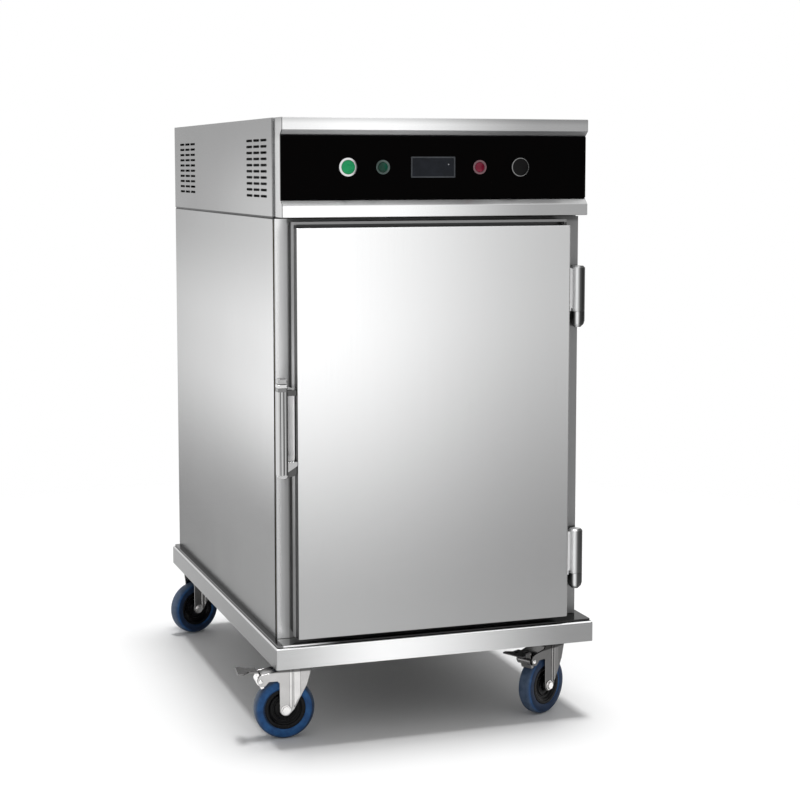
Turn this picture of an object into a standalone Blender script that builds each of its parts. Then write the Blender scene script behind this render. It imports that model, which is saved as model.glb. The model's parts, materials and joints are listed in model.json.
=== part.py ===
"""Food warming cart: an insulated cabinet with one door, a control housing on top and four casters.

The cabinet is modelled with x = 0 in its middle, y = 0 at the front of the door frame and z = 0
on the floor. The door faces -y. One empty carries everything and puts the middle of the
footprint on the origin.
"""
import math

import bmesh
import bpy

# Clearances. FIT is the gap between pieces that touch, OVERRUN is how far a cutter passes a face
FIT = 0.0003
OVERRUN = 0.004

# Wheels and casters. The casters at the front have brakes
WHEEL_DIAMETER = 0.125
WHEEL_WIDTH = 0.032
WHEEL_SIDES = 28
HUB_DIAMETER = 0.084
HUB_LENGTH = 0.036
HUB_WEB = 0.018
HUB_BOSS_RADIUS = 0.0125
TYRE_SHOULDER = 0.0045
AXLE_RADIUS = 0.004
AXLE_HEAD_RADIUS = 0.0085
AXLE_HEAD = 0.0055
CASTER_HEIGHT = 0.163
CASTER_TRAIL = 0.028
CASTER_SIDE_INSET = 0.065
CASTER_FRONT_INSET = 0.080
CASTER_REAR_INSET = 0.060
CASTER_PLATE_WIDTH = 0.085
CASTER_PLATE_LENGTH = 0.105
CASTER_PLATE_CORNER = 0.008
CASTER_PLATE = 0.003
RACE_RADIUS = 0.033
RACE_HEIGHT = 0.010
RACE_CHAMFER = 0.004
KINGPIN_RADIUS = 0.006
KINGPIN_HEAD_RADIUS = 0.011
KINGPIN_HEAD = 0.005
ROUND_SIDES = 20
FORK_SHEET = 0.003
FORK_CLEARANCE = 0.0008
FORK_RIB = 0.0016
FORK_RIB_BEVEL = 0.001
FORK_RIB_START = 0.009
FORK_RIB_NARROW = 0.0048
FORK_RIB_GAP = 0.003
FORK_RIB_WIDE = 0.012
FORK_FOOT_RADIUS = 0.0125
FORK_FOOT_FRONT = 0.0172
FORK_TOP_FRONT = 0.0545
FORK_TOP_REAR = 0.018
FORK_LEG_REAR = 0.0122
FORK_SLOPE_HEIGHT = 0.051
FORK_SLOPE_FRONT = 0.0445
BRACKET_LENGTH = 0.0577
BRACKET_LOW = 0.049
BRACKET_ARCH = 0.0605
BRACKET_HIGH = 0.0755
BRACKET_SHOULDER = 0.0815
BRACKET_TOE = 0.024
BRAKE_PIN_BACK = 0.0513
BRAKE_PIN_HIGH = 0.061
BRAKE_PIN_RADIUS = 0.0042
BRAKE_PIN_HEAD = 0.0025
BRAKE_PEDAL_WIDTH = 0.033
BRAKE_PEDAL_SHEET = 0.003
BRAKE_PEDAL_HEIGHT = 0.021
BRAKE_PEDAL_REACH = 0.047
BRAKE_PEDAL_FLARE = 0.054
BRAKE_EYE_RADIUS = 0.0085
BRAKE_SHOE_WIDTH = 0.007
BRAKE_GAP = 0.0006
BRAKE_THROW = math.radians(22)

# Headings of the wheels at rest, degrees from +x, in the order of CORNERS
CORNERS = ("front_left", "front_right", "rear_left", "rear_right")
HEADING = {"front_left": 176, "front_right": 209, "rear_left": 200, "rear_right": 194}

# Bumper frame and deck
FRAME_HEIGHT = 0.043
FRAME_WALL = 0.003
FRAME_TOP_FLANGE = 0.045
FRAME_LOW_FLANGE = 0.036
FRAME_GUSSET = 0.115
FRAME_CORNER = 0.005
FRAME_EDGE_ROUND = 0.005
FRAME_SIDE_OVERHANG = 0.016
FRAME_FRONT_OVERHANG = 0.058
FRAME_REAR_OVERHANG = 0.008
DECK_SHEET = 0.004
DECK_INSET = 0.0045

# Cabinet
BODY_WIDTH = 0.655
BODY_DEPTH = 0.950
BODY_HEIGHT = 0.8424
SHEET = 0.0015
RETURN_FLANGE = 0.018
REVEAL = 0.011
REVEAL_DEPTH = 0.0055
FACE_LIP = 0.001
FACE_RETURN = 0.030
FACE_INNER_RETURN = 0.022
INSULATION_REAR = 0.042

# Door, with its distances from the cabinet's edges
DOOR_LEFT_MARGIN = 0.0286
DOOR_RIGHT_MARGIN = 0.046
DOOR_FOOT = 0.0109
DOOR_SKIN_TOP = 0.0168
DOOR_PAN_TOP = 0.005
DOOR_OVERLAP = 0.018
DOOR_SHEET = 0.0012
DOOR_SKIN_DEPTH = 0.021
DOOR_PAN_DEPTH = 0.020
DOOR_PAN_LIP = 0.0054
DOOR_CORNER = 0.003
DOOR_EDGE_ROUND = 0.002
GASKET_DEPTH = 0.0216
GASKET_WIDTH = 0.016
GASKET_CORNER = 0.010
GASKET_BEAD = 0.004

# Hinges
HINGE_LENGTH = 0.127
HINGE_RADIUS = 0.0150
HINGE_FIXED = 0.033
HINGE_NOSE = 0.013
HINGE_CROWN = 0.004
HINGE_AXIS_INSET = 0.0155
HINGE_AXIS_FRONT = 0.032
HINGE_PIN_RADIUS = 0.004
HINGE_PIN_LENGTH = 0.040
HINGE_LEAF = 0.003
HINGE_LEAF_WIDTH = 0.026
HINGE_WEB = 0.012
HINGE_UPPER_DROP = 0.1014
HINGE_LOWER_HEIGHT = 0.063

# Door pull and its strike
PULL_BOTTOM = 0.335
PULL_TOP = 0.535
PULL_GRIP_WIDTH = 0.021
PULL_GRIP_DEPTH = 0.022
PULL_GRIP_REACH = 0.014
PULL_GRIP_FRONT = 0.077
PULL_RIB = 0.0018
PULL_ARM_DEPTH = 0.016
PULL_ARM_FRONT = 0.062
PULL_UPPER_ARM_TOP = 0.510
PULL_UPPER_ARM = 0.011
PULL_LOWER_ARM = 0.036
PULL_LOWER_ROUND = 0.013
PULL_HEAD = 0.020
PULL_PAD = 0.003
STRIKE_WIDTH = 0.020
STRIKE_MARGIN = 0.005
STRIKE_SHEET = 0.002

# Control housing and its front
HOUSING_HEIGHT = 0.1945
HOUSING_SHEET = 0.0012
SEAM = 0.003
FASCIA_SHEET = 0.002
FASCIA_DEPTH = 0.050
FASCIA_SIDE_INSET = 0.0035
FASCIA_TOP_BAR = 0.024
FASCIA_LOW_BAR = 0.0232
FASCIA_TOP_BEVEL = 0.0105
FASCIA_LOW_BEVEL = 0.0125
FASCIA_RECESS = 0.013
FASCIA_TONGUE = 0.025
FASCIA_TONGUE_INSET = 0.009
PANEL_SHEET = 0.003
PANEL_MARGIN = 0.0005

# Vent slots, in two groups on each side of the housing
VENT_ROWS = 10
VENT_COLUMNS = 3
VENT_ROW_SPACING = 0.0124
VENT_COLUMN_SPACING = 0.0585
VENT_LENGTH = 0.050
VENT_HEIGHT = 0.0052
VENT_FIRST_ROW = 0.040
VENT_FRONT_GROUP = 0.134
VENT_REAR_GROUP = 0.800

# Controls, as distances from the cabinet's middle and from the housing's bottom
CONTROL_HEIGHT = 0.098
START_X = -0.188
GREEN_LAMP_X = -0.115
DISPLAY_X = -0.0095
RED_LAMP_X = 0.090
STOP_X = 0.177
BUTTON_RING_RADIUS = 0.019
BUTTON_RING_HEIGHT = 0.006
START_RADIUS = 0.0122
STOP_RADIUS = 0.0165
BUTTON_NECK_RADIUS = 0.011
BUTTON_NECK_WALL = 0.002
BUTTON_NECK = 0.022
BUTTON_PROUD = 0.001
BUTTON_CAP = 0.0028
BUTTON_TRAVEL = 0.002
BUTTON_STEM_RADIUS = 0.005
BUTTON_STEM = 0.014
LAMP_RING_RADIUS = 0.0143
LAMP_LENS_RADIUS = 0.0105
LAMP_HEIGHT = 0.003
LAMP_DOME = 0.003
DISPLAY_WIDTH = 0.0936
DISPLAY_HEIGHT = 0.0418
DISPLAY_BEZEL = 0.002
DISPLAY_RIM = 0.004
DISPLAY_CORNER = 0.002
DISPLAY_NECK_INSET = 0.004
DISPLAY_DEPTH = 0.042
BOARD_WIDTH = 0.150
BOARD_HEIGHT = 0.110
BOARD_SHEET = 0.0016
BOARD_BLOCK_WIDTH = 0.040
BOARD_BLOCK_HEIGHT = 0.034
BOARD_BLOCK_DEPTH = 0.028
INLET_WIDTH = 0.060
INLET_HEIGHT = 0.046
INLET_FLANGE = 0.003
INLET_NECK_INSET = 0.007
INLET_DEPTH = 0.034
INLET_SOCKET_INSET = 0.006
INLET_SOCKET_DEPTH = 0.020
INLET_SIDE_MARGIN = 0.1175
INLET_Z = 0.050

# Chamber fittings
LEDGES = 8
LEDGE_SPACING = 0.080
LEDGE_WIDTH = 0.024
LEDGE_SHEET = 0.002
LEDGE_LIP = 0.005
LEDGE_FIRST = 0.105
RACK_FRONT = 0.060
RACK_DEPTH = 0.680
RACK_HEAD = 0.018
PAN_LENGTH = 0.530
PAN_WIDTH = 0.325
PAN_HEIGHT = 0.062
PAN_CORNER = 0.045
PAN_RIM = 0.012
PAN_SHEET = 0.0012
PAN_FRONT = 0.120
FAN_Y = 0.440
FAN_SIDES = 24
FAN_BLADES = 7
FAN_BLADE_LENGTH = 0.052
FAN_BLADE_HEIGHT = 0.018
FAN_BLADE_SHEET = 0.002
FAN_HUB_RADIUS = 0.014
FAN_HUB_DROP = 0.009
FAN_SHAFT_RADIUS = 0.005
FAN_SHAFT_CLEARANCE = 0.004
MOTOR_RADIUS = 0.045
MOTOR_HEIGHT = 0.075
MOTOR_FLANGE_RADIUS = 0.060
MOTOR_FLANGE = 0.004
MOTOR_ENTRY = 0.040
HEATER_RADIUS = 0.098
HEATER_TUBE = 0.0042
HEATER_SIDES = 8
HEATER_STEPS = 28
HEATER_GAP_ANGLE = math.radians(24)
HEATER_DROP = 0.018
BAFFLE_SIDE_MARGIN = 0.0372
BAFFLE_LENGTH = 0.330
BAFFLE_HEIGHT = 0.042
BAFFLE_CORNER = 0.006
BAFFLE_INTAKE = 0.065

# Finishes: colour, roughness, metallic
FINISHES = {
    "brushed_steel": ((0.62, 0.62, 0.61, 1), 0.32, 1.0),
    "plain_steel": ((0.58, 0.58, 0.57, 1), 0.38, 1.0),
    "zinc_plate": ((0.66, 0.67, 0.68, 1), 0.30, 1.0),
    "chrome": ((0.76, 0.76, 0.77, 1), 0.12, 1.0),
    "blue_rubber": ((0.022, 0.085, 0.30, 1), 0.55, 0.0),
    "black_nylon": ((0.012, 0.012, 0.014, 1), 0.42, 0.0),
    "black_rubber": ((0.014, 0.014, 0.014, 1), 0.60, 0.0),
    "black_gloss": ((0.004, 0.004, 0.005, 1), 0.08, 0.0),
    "green_gloss": ((0.01, 0.30, 0.11, 1), 0.25, 0.0),
    "red_gloss": ((0.16, 0.006, 0.018, 1), 0.20, 0.0),
    "mineral_wool": ((0.52, 0.44, 0.26, 1), 0.95, 0.0),
    "board_green": ((0.02, 0.12, 0.05, 1), 0.50, 0.0),
    "dark_tube": ((0.20, 0.17, 0.15, 1), 0.45, 1.0),
}

# Heights that follow from the sizes above
WHEEL_RADIUS = WHEEL_DIAMETER / 2
AXLE_HEIGHT = WHEEL_RADIUS * math.cos(math.pi / WHEEL_SIDES)
FRAME_BOTTOM = CASTER_HEIGHT + FIT
FRAME_TOP = FRAME_BOTTOM + FRAME_HEIGHT
DECK_BOTTOM = FRAME_TOP + FIT
BODY_BOTTOM = DECK_BOTTOM + DECK_SHEET + FIT
BODY_TOP = BODY_BOTTOM + BODY_HEIGHT
HOUSING_BOTTOM = BODY_TOP + SEAM
HOUSING_TOP = HOUSING_BOTTOM + HOUSING_HEIGHT
LEFT = -BODY_WIDTH / 2
RIGHT = BODY_WIDTH / 2
FRAME_LEFT = LEFT - FRAME_SIDE_OVERHANG
FRAME_RIGHT = RIGHT + FRAME_SIDE_OVERHANG
FRAME_FRONT = -FRAME_FRONT_OVERHANG
FRAME_REAR = BODY_DEPTH + FRAME_REAR_OVERHANG

# Door rectangle and the opening behind it
DOOR_LEFT = LEFT + DOOR_LEFT_MARGIN
DOOR_RIGHT = RIGHT - DOOR_RIGHT_MARGIN
DOOR_BOTTOM = BODY_BOTTOM + DOOR_FOOT
DOOR_TOP = BODY_TOP - DOOR_SKIN_TOP
DOOR_PAN_HEAD = BODY_TOP - DOOR_PAN_TOP
DOOR_PAN_REAR = -FIT - GASKET_DEPTH - FIT
DOOR_PAN_FRONT = DOOR_PAN_REAR - DOOR_PAN_DEPTH
DOOR_SKIN_REAR = DOOR_PAN_FRONT - FIT
DOOR_SKIN_FRONT = DOOR_SKIN_REAR - DOOR_SKIN_DEPTH
OPENING_LEFT = DOOR_LEFT + DOOR_OVERLAP
OPENING_RIGHT = DOOR_RIGHT - DOOR_OVERLAP
OPENING_BOTTOM = DOOR_BOTTOM + DOOR_OVERLAP
OPENING_TOP = DOOR_PAN_HEAD - DOOR_OVERLAP
OPENING = (OPENING_LEFT, OPENING_BOTTOM, OPENING_RIGHT, OPENING_TOP)
HINGE_X = RIGHT - HINGE_AXIS_INSET
HINGE_Y = -HINGE_AXIS_FRONT
HINGE_BOTTOM = {
    "upper": BODY_TOP - HINGE_UPPER_DROP - HINGE_LENGTH,
    "lower": BODY_BOTTOM + HINGE_LOWER_HEIGHT,
}

# Chamber. The liner's inner faces are flush with the opening's edges
LINER_FRONT = FACE_INNER_RETURN + FIT
LINER_REAR = BODY_DEPTH - INSULATION_REAR
CHAMBER_WIDTH = OPENING_RIGHT - OPENING_LEFT
CHAMBER_MIDDLE = (OPENING_LEFT + OPENING_RIGHT) / 2
FAN_X = CHAMBER_MIDDLE

# Fascia levels
PANEL_BOTTOM = HOUSING_BOTTOM + FASCIA_LOW_BAR + FASCIA_LOW_BEVEL
PANEL_TOP = HOUSING_TOP - FASCIA_TOP_BAR - FASCIA_TOP_BEVEL
FASCIA_FRONT = -FASCIA_DEPTH
RECESS_Y = FASCIA_FRONT + FASCIA_RECESS
PANEL_FRONT = RECESS_Y - FIT - PANEL_SHEET
CONTROL_Z = HOUSING_BOTTOM + CONTROL_HEIGHT
INLET_X = RIGHT - INLET_SIDE_MARGIN

# Caster levels
RACE_BOTTOM = CASTER_HEIGHT - CASTER_PLATE - RACE_HEIGHT
CROWN_TOP = RACE_BOTTOM - FIT
CROWN_BOTTOM = CROWN_TOP - FORK_SHEET
FORK_INNER = HUB_LENGTH / 2 + FORK_CLEARANCE
FORK_OUTER = FORK_INNER + FORK_SHEET
BRAKE_PIN_X = CASTER_TRAIL + BRAKE_PIN_BACK
BRAKE_PIN_Z = AXLE_HEIGHT + BRAKE_PIN_HIGH


# Outlines

def shrink(rectangle, inset):
    """Rectangle (low a, low b, high a, high b) with every side moved in."""
    low_a, low_b, high_a, high_b = rectangle
    return (low_a + inset, low_b + inset, high_a - inset, high_b - inset)


def corners(rectangle):
    low_a, low_b, high_a, high_b = rectangle
    return [(low_a, low_b), (high_a, low_b), (high_a, high_b), (low_a, high_b)]


def arc(centre, radius, start, end, steps):
    """Points from one angle to another, in degrees, both ends included."""
    points = []
    for step in range(steps + 1):
        angle = math.radians(start + (end - start) * step / steps)
        points.append((centre[0] + radius * math.cos(angle), centre[1] + radius * math.sin(angle)))
    return points


def rounded(rectangle, radius, steps=3):
    """Rectangle with round corners, anticlockwise from its lower left corner."""
    low_a, low_b, high_a, high_b = shrink(rectangle, radius)
    centres = [(low_a, low_b), (high_a, low_b), (high_a, high_b), (low_a, high_b)]
    points = []
    for quarter, centre in enumerate(centres):
        points += arc(centre, radius, 180 + 90 * quarter, 270 + 90 * quarter, steps)
    return points


def circle(centre, radius, sides):
    """Circle with its first side's middle at angle zero, so that a flat side faces down."""
    turn = 180 / sides
    return arc(centre, radius, turn, 360 + turn, sides)[:-1]


def place(outline, axis, level):
    """Outline set across an axis: (y, z) across x, (x, z) across y and (x, y) across z."""
    if axis == "x":
        return [(level, a, b) for a, b in outline]
    if axis == "y":
        return [(a, level, b) for a, b in outline]
    return [(a, b, level) for a, b in outline]


# Solids

def stack(loops, ring=False):
    """Skin over loops of equal length, capped at both ends or closed round into a ring."""
    model = bmesh.new()
    rows = [[model.verts.new(point) for point in loop] for loop in loops]
    pairs = list(zip(rows, rows[1:]))
    if ring:
        pairs.append((rows[-1], rows[0]))
    else:
        model.faces.new(rows[0])
        model.faces.new(rows[-1])
    for near, far in pairs:
        for index, vertex in enumerate(near):
            following = (index + 1) % len(near)
            model.faces.new((vertex, near[following], far[following], far[index]))
    return to_mesh(model)


def to_mesh(model):
    bmesh.ops.recalc_face_normals(model, faces=model.faces)
    mesh = bpy.data.meshes.new("solid")
    model.to_mesh(mesh)
    model.free()
    return mesh


def prism(outline, axis, low, high):
    """Outline extruded along an axis."""
    model = bmesh.new()
    face = model.faces.new([model.verts.new(point) for point in place(outline, axis, low)])
    grown = bmesh.ops.extrude_face_region(model, geom=[face])
    moved = [item for item in grown["geom"] if isinstance(item, bmesh.types.BMVert)]
    shift = {"x": (high - low, 0, 0), "y": (0, high - low, 0), "z": (0, 0, high - low)}[axis]
    bmesh.ops.translate(model, verts=moved, vec=shift)
    return to_mesh(model)


def box(low, high):
    return prism(corners((low[0], low[1], high[0], high[1])), "z", low[2], high[2])


def turned(profile, axis, centre=(0, 0), sides=ROUND_SIDES, ring=False):
    """Profile of (radius, level) turned round an axis; a ring's profile closes on itself."""
    return stack([place(circle(centre, radius, sides), axis, level) for radius, level in profile], ring)


def disc(axis, centre, radius, low, high, sides=ROUND_SIDES):
    return turned([(radius, low), (radius, high)], axis, centre, sides)


def pan(rectangle, axis, closed, open_level, wall, radius=0.0, lip=0.0):
    """Folded tray: its floor's outer face is at closed, its rim at open_level."""
    inward = wall if open_level > closed else -wall
    inner = max(radius - wall, radius / 4)

    def loop(inset, level, corner):
        shape = shrink(rectangle, inset)
        return place(rounded(shape, corner) if radius else corners(shape), axis, level)

    loops = [loop(0, closed, radius), loop(0, open_level, radius)]
    if lip:
        loops += [loop(lip, open_level, inner), loop(lip, open_level - inward, inner)]
        loops += [loop(wall, open_level - inward, inner)]
    else:
        loops += [loop(wall, open_level, inner)]
    loops += [loop(wall, closed + inward, inner)]
    return stack(loops)


def combine(base, others, operation):
    """Union, difference or intersection of one solid with others, as a plain mesh."""
    scene = bpy.context.scene.collection.objects
    body = bpy.data.objects.new("body", base)
    scene.link(body)
    tools = []
    for mesh in others:
        tool = bpy.data.objects.new("tool", mesh)
        scene.link(tool)
        tools.append(tool)
        modifier = body.modifiers.new("combine", "BOOLEAN")
        modifier.operation = operation
        modifier.solver = "EXACT"
        modifier.object = tool
    bpy.context.view_layer.update()
    evaluated = body.evaluated_get(bpy.context.evaluated_depsgraph_get())
    result = bpy.data.meshes.new_from_object(evaluated)
    for item in [body] + tools:
        bpy.data.objects.remove(item, do_unlink=True)
    return result


def join(base, *others):
    return combine(base, others, "UNION")


def cut(base, *others):
    return combine(base, others, "DIFFERENCE")


def together(meshes):
    """Several separate cutters as one mesh."""
    model = bmesh.new()
    for mesh in meshes:
        model.from_mesh(mesh)
    return to_mesh(model)


def tube(path, radius, sides):
    """Round tube along a path of points that bends in any direction."""
    loops = []
    for index, point in enumerate(path):
        before = path[max(index - 1, 0)]
        after = path[min(index + 1, len(path) - 1)]
        along = [after[i] - before[i] for i in range(3)]
        length = math.sqrt(sum(value * value for value in along))
        along = [value / length for value in along]
        radial = (point[0] - FAN_X, point[1] - FAN_Y, 0)
        reach = math.hypot(radial[0], radial[1])
        side = (radial[0] / reach, radial[1] / reach, 0)
        up = (side[1] * along[2] - side[2] * along[1],
              side[2] * along[0] - side[0] * along[2],
              side[0] * along[1] - side[1] * along[0])
        loop = []
        for step in range(sides):
            angle = 2 * math.pi * step / sides
            across, rise = radius * math.cos(angle), radius * math.sin(angle)
            loop.append(tuple(point[i] + side[i] * across + up[i] * rise for i in range(3)))
        loops.append(loop)
    return stack(loops)


# Objects

def new_material(name, finish):
    colour, roughness, metallic = FINISHES[finish]
    material = bpy.data.materials.new(name + "_finish")
    material.use_nodes = True
    shader = material.node_tree.nodes["Principled BSDF"]
    shader.inputs["Base Color"].default_value = colour
    shader.inputs["Roughness"].default_value = roughness
    shader.inputs["Metallic"].default_value = metallic
    return material


def add_piece(name, mesh, finish, parent, smooth_angle=30):
    """One sub-part: its mesh is written in its parent's coordinates."""
    item = bpy.data.objects.new(name, mesh)
    bpy.context.scene.collection.objects.link(item)
    item.parent = parent
    mesh.materials.clear()
    mesh.materials.append(new_material(name, finish))
    mesh.shade_smooth()
    mesh.set_sharp_from_angle(angle=math.radians(smooth_angle))
    return item


def add_pivot(name, parent, location, heading=0):
    pivot = bpy.data.objects.new(name, None)
    bpy.context.scene.collection.objects.link(pivot)
    pivot.parent = parent
    pivot.location = location
    pivot.rotation_euler = (0, 0, math.radians(heading))
    return pivot


def from_pivot(mesh, x, y, z):
    """Mesh written in cabinet coordinates, moved into those of a pivot at x, y, z."""
    for vertex in mesh.vertices:
        vertex.co.x -= x
        vertex.co.y -= y
        vertex.co.z -= z
    return mesh


# Bumper frame

def base_frame():
    """Channel with its open side inwards, mitred round the base, with a gusset at each corner."""
    outer = (FRAME_LEFT, FRAME_FRONT, FRAME_RIGHT, FRAME_REAR)

    def loop(inset, level, corner):
        return place(rounded(shrink(outer, inset), corner), "z", level)

    loops = [loop(0, FRAME_BOTTOM, FRAME_CORNER)]
    edge = arc((FRAME_EDGE_ROUND, FRAME_TOP - FRAME_EDGE_ROUND), FRAME_EDGE_ROUND, 180, 90, 3)
    loops += [loop(inset, level, FRAME_CORNER) for inset, level in edge]
    loops += [
        loop(FRAME_TOP_FLANGE, FRAME_TOP, FRAME_CORNER),
        loop(FRAME_TOP_FLANGE, FRAME_TOP - FRAME_WALL, FRAME_CORNER),
        loop(FRAME_WALL, FRAME_TOP - FRAME_WALL, FRAME_CORNER),
        loop(FRAME_WALL, FRAME_BOTTOM + FRAME_WALL, FRAME_CORNER),
        loop(FRAME_LOW_FLANGE, FRAME_BOTTOM + FRAME_WALL, FRAME_GUSSET),
        loop(FRAME_LOW_FLANGE, FRAME_BOTTOM, FRAME_GUSSET),
    ]
    return stack(loops, ring=True)


def base_plate():
    outer = shrink((FRAME_LEFT, FRAME_FRONT, FRAME_RIGHT, FRAME_REAR), DECK_INSET)
    return prism(rounded(outer, FRAME_CORNER), "z", DECK_BOTTOM, DECK_BOTTOM + DECK_SHEET)


# Casters. Their coordinates have x along the trail, y along the axle and z up from the floor

def caster_plate():
    half_width, half_length = CASTER_PLATE_WIDTH / 2, CASTER_PLATE_LENGTH / 2
    outline = rounded((-half_width, -half_length, half_width, half_length), CASTER_PLATE_CORNER)
    plate = prism(outline, "z", CASTER_HEIGHT - CASTER_PLATE, CASTER_HEIGHT)
    pin_head = CROWN_BOTTOM - FIT
    profile = [
        (RACE_RADIUS, CASTER_HEIGHT - CASTER_PLATE / 2),
        (RACE_RADIUS, RACE_BOTTOM + RACE_CHAMFER),
        (RACE_RADIUS - RACE_CHAMFER, RACE_BOTTOM),
        (KINGPIN_RADIUS, RACE_BOTTOM),
        (KINGPIN_RADIUS, pin_head),
        (KINGPIN_HEAD_RADIUS, pin_head),
        (KINGPIN_HEAD_RADIUS, pin_head - KINGPIN_HEAD),
    ]
    return join(plate, turned(profile, "z"))


def fork_outline(braked):
    """Side view of the fork, from the foot up the sloped front edge, over the crown and down."""
    x, z = CASTER_TRAIL, AXLE_HEIGHT
    foot = arc((x, z), FORK_FOOT_RADIUS, 0, -120, 5)
    front = [
        (x - FORK_FOOT_FRONT, z),
        (x - FORK_SLOPE_FRONT, z + FORK_SLOPE_HEIGHT),
        (x - FORK_TOP_FRONT, CROWN_BOTTOM),
        (x - FORK_TOP_FRONT, CROWN_TOP),
    ]
    if braked:
        rear = [
            (x + FORK_LEG_REAR, CROWN_TOP),
            (x + FORK_LEG_REAR + FORK_SHEET, z + BRACKET_SHOULDER),
            (x + BRACKET_LENGTH, z + BRACKET_HIGH),
            (x + BRACKET_LENGTH, z + BRACKET_LOW + FORK_SHEET),
            (x + BRACKET_LENGTH - FORK_SHEET, z + BRACKET_LOW),
            (x + BRACKET_LENGTH - BRACKET_TOE + FORK_SHEET, z + BRACKET_LOW),
            (x + BRACKET_LENGTH - BRACKET_TOE, z + BRACKET_LOW + FORK_SHEET),
            (x + BRACKET_LENGTH - BRACKET_TOE, z + BRACKET_ARCH),
            (x + FORK_LEG_REAR + FORK_SHEET, z + BRACKET_ARCH),
            (x + FORK_LEG_REAR, z + BRACKET_ARCH - FORK_SHEET),
        ]
    else:
        rear = [
            (x + FORK_TOP_REAR, CROWN_TOP),
            (x + FORK_TOP_REAR, CROWN_BOTTOM),
            (x + FORK_LEG_REAR + FORK_SHEET, z + BRACKET_ARCH),
            (x + FORK_LEG_REAR, z + BRACKET_ARCH - FORK_SHEET),
        ]
    return foot + front + rear


def fork_plan():
    """Plan of the two cheeks' outer faces, with the ribs pressed out of them."""
    rib = FORK_OUTER + FORK_RIB
    bevel = FORK_RIB_BEVEL
    level = CASTER_TRAIL - FORK_RIB_START
    half = [(CASTER_TRAIL + BRACKET_LENGTH + OVERRUN, FORK_OUTER)]
    for width in (FORK_RIB_NARROW, FORK_RIB_WIDE):
        half += [(level, FORK_OUTER), (level - bevel, rib), (level - bevel - width, rib)]
        level -= width + bevel * 2
        half.append((level, FORK_OUTER))
        level -= FORK_RIB_GAP
    half.append((CASTER_TRAIL - FORK_TOP_FRONT - OVERRUN, FORK_OUTER - FORK_SHEET / 3))
    return half + [(a, -b) for a, b in reversed(half)]


def fork(braked):
    """Pressed fork: crown and two ribbed cheeks, with a brake bracket behind where it is braked."""
    wide = FORK_OUTER + FORK_RIB + OVERRUN
    side = prism(fork_outline(braked), "y", -wide, wide)
    solid = combine(side, [prism(fork_plan(), "z", 0, CROWN_TOP + OVERRUN)], "INTERSECT")
    reach = CASTER_TRAIL + BRACKET_LENGTH + OVERRUN
    gap = box((-reach, -FORK_INNER, 0), (reach, FORK_INNER, CROWN_BOTTOM))
    kingpin = disc("z", (0, 0), KINGPIN_RADIUS + FIT, CROWN_BOTTOM - OVERRUN, CROWN_TOP + OVERRUN)
    axle = disc("y", (CASTER_TRAIL, AXLE_HEIGHT), AXLE_RADIUS + FIT, -wide, wide, 12)
    solid = cut(solid, gap, kingpin, axle)
    if braked:
        start = CASTER_TRAIL + FORK_LEG_REAR + FORK_SHEET
        slot = box((start, -FORK_INNER, CROWN_BOTTOM - OVERRUN), (reach, FORK_INNER, CROWN_TOP + OVERRUN))
        proud = FORK_OUTER + BRAKE_PIN_HEAD
        pin = disc("y", (BRAKE_PIN_X, BRAKE_PIN_Z), BRAKE_PIN_RADIUS, -proud, proud, 12)
        solid = join(cut(solid, slot), pin)
    return solid


def axle():
    """Hexagon bolt and nut: each loop has twelve points, so that hexagon and circle match."""
    def ring(radius, level, hexagon):
        points = []
        for step in range(12):
            angle = math.pi * step / 6
            reach = radius * (math.cos(math.pi / 6) if hexagon and step % 2 else 1)
            points.append((CASTER_TRAIL + reach * math.cos(angle), AXLE_HEIGHT + reach * math.sin(angle)))
        return place(points, "y", level)

    seat = FORK_OUTER + FIT
    end = seat + AXLE_HEAD
    chamfer = AXLE_HEAD / 5
    loops = [
        ring(AXLE_HEAD_RADIUS - chamfer, end, False),
        ring(AXLE_HEAD_RADIUS, end - chamfer, True),
        ring(AXLE_HEAD_RADIUS, seat, True),
        ring(AXLE_RADIUS, seat, False),
        ring(AXLE_RADIUS, -seat, False),
        ring(AXLE_HEAD_RADIUS, -seat, True),
        ring(AXLE_HEAD_RADIUS, -end, True),
        ring(AXLE_RADIUS, -end, False),
    ]
    return stack(loops)


def wheel_hub():
    """Hub with a long boss, a thin web between two grooves and a rim for the tyre."""
    rim = HUB_DIAMETER / 2 - FIT
    half_rim = WHEEL_WIDTH / 2 - FIT * 4
    half_web = HUB_WEB / 2
    step = (rim - HUB_BOSS_RADIUS) / 5
    half = [
        (AXLE_RADIUS + FIT, HUB_LENGTH / 2),
        (HUB_BOSS_RADIUS, HUB_LENGTH / 2),
        (HUB_BOSS_RADIUS, half_web),
        (rim - step, half_web),
        (rim - step, half_rim),
        (rim, half_rim),
    ]
    profile = half + [(radius, -level) for radius, level in reversed(half)]
    return turned(profile, "y", (0, 0), WHEEL_SIDES, ring=True)


def wheel_tyre():
    inner, half = HUB_DIAMETER / 2, WHEEL_WIDTH / 2
    half_profile = [
        (inner, half - TYRE_SHOULDER / 3),
        (WHEEL_RADIUS - TYRE_SHOULDER * 1.5, half),
        (WHEEL_RADIUS - TYRE_SHOULDER / 2, half - TYRE_SHOULDER / 3),
        (WHEEL_RADIUS, half - TYRE_SHOULDER * 1.4),
    ]
    profile = half_profile + [(radius, -level) for radius, level in reversed(half_profile)]
    return turned(profile, "y", (0, 0), WHEEL_SIDES, ring=True)


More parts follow.
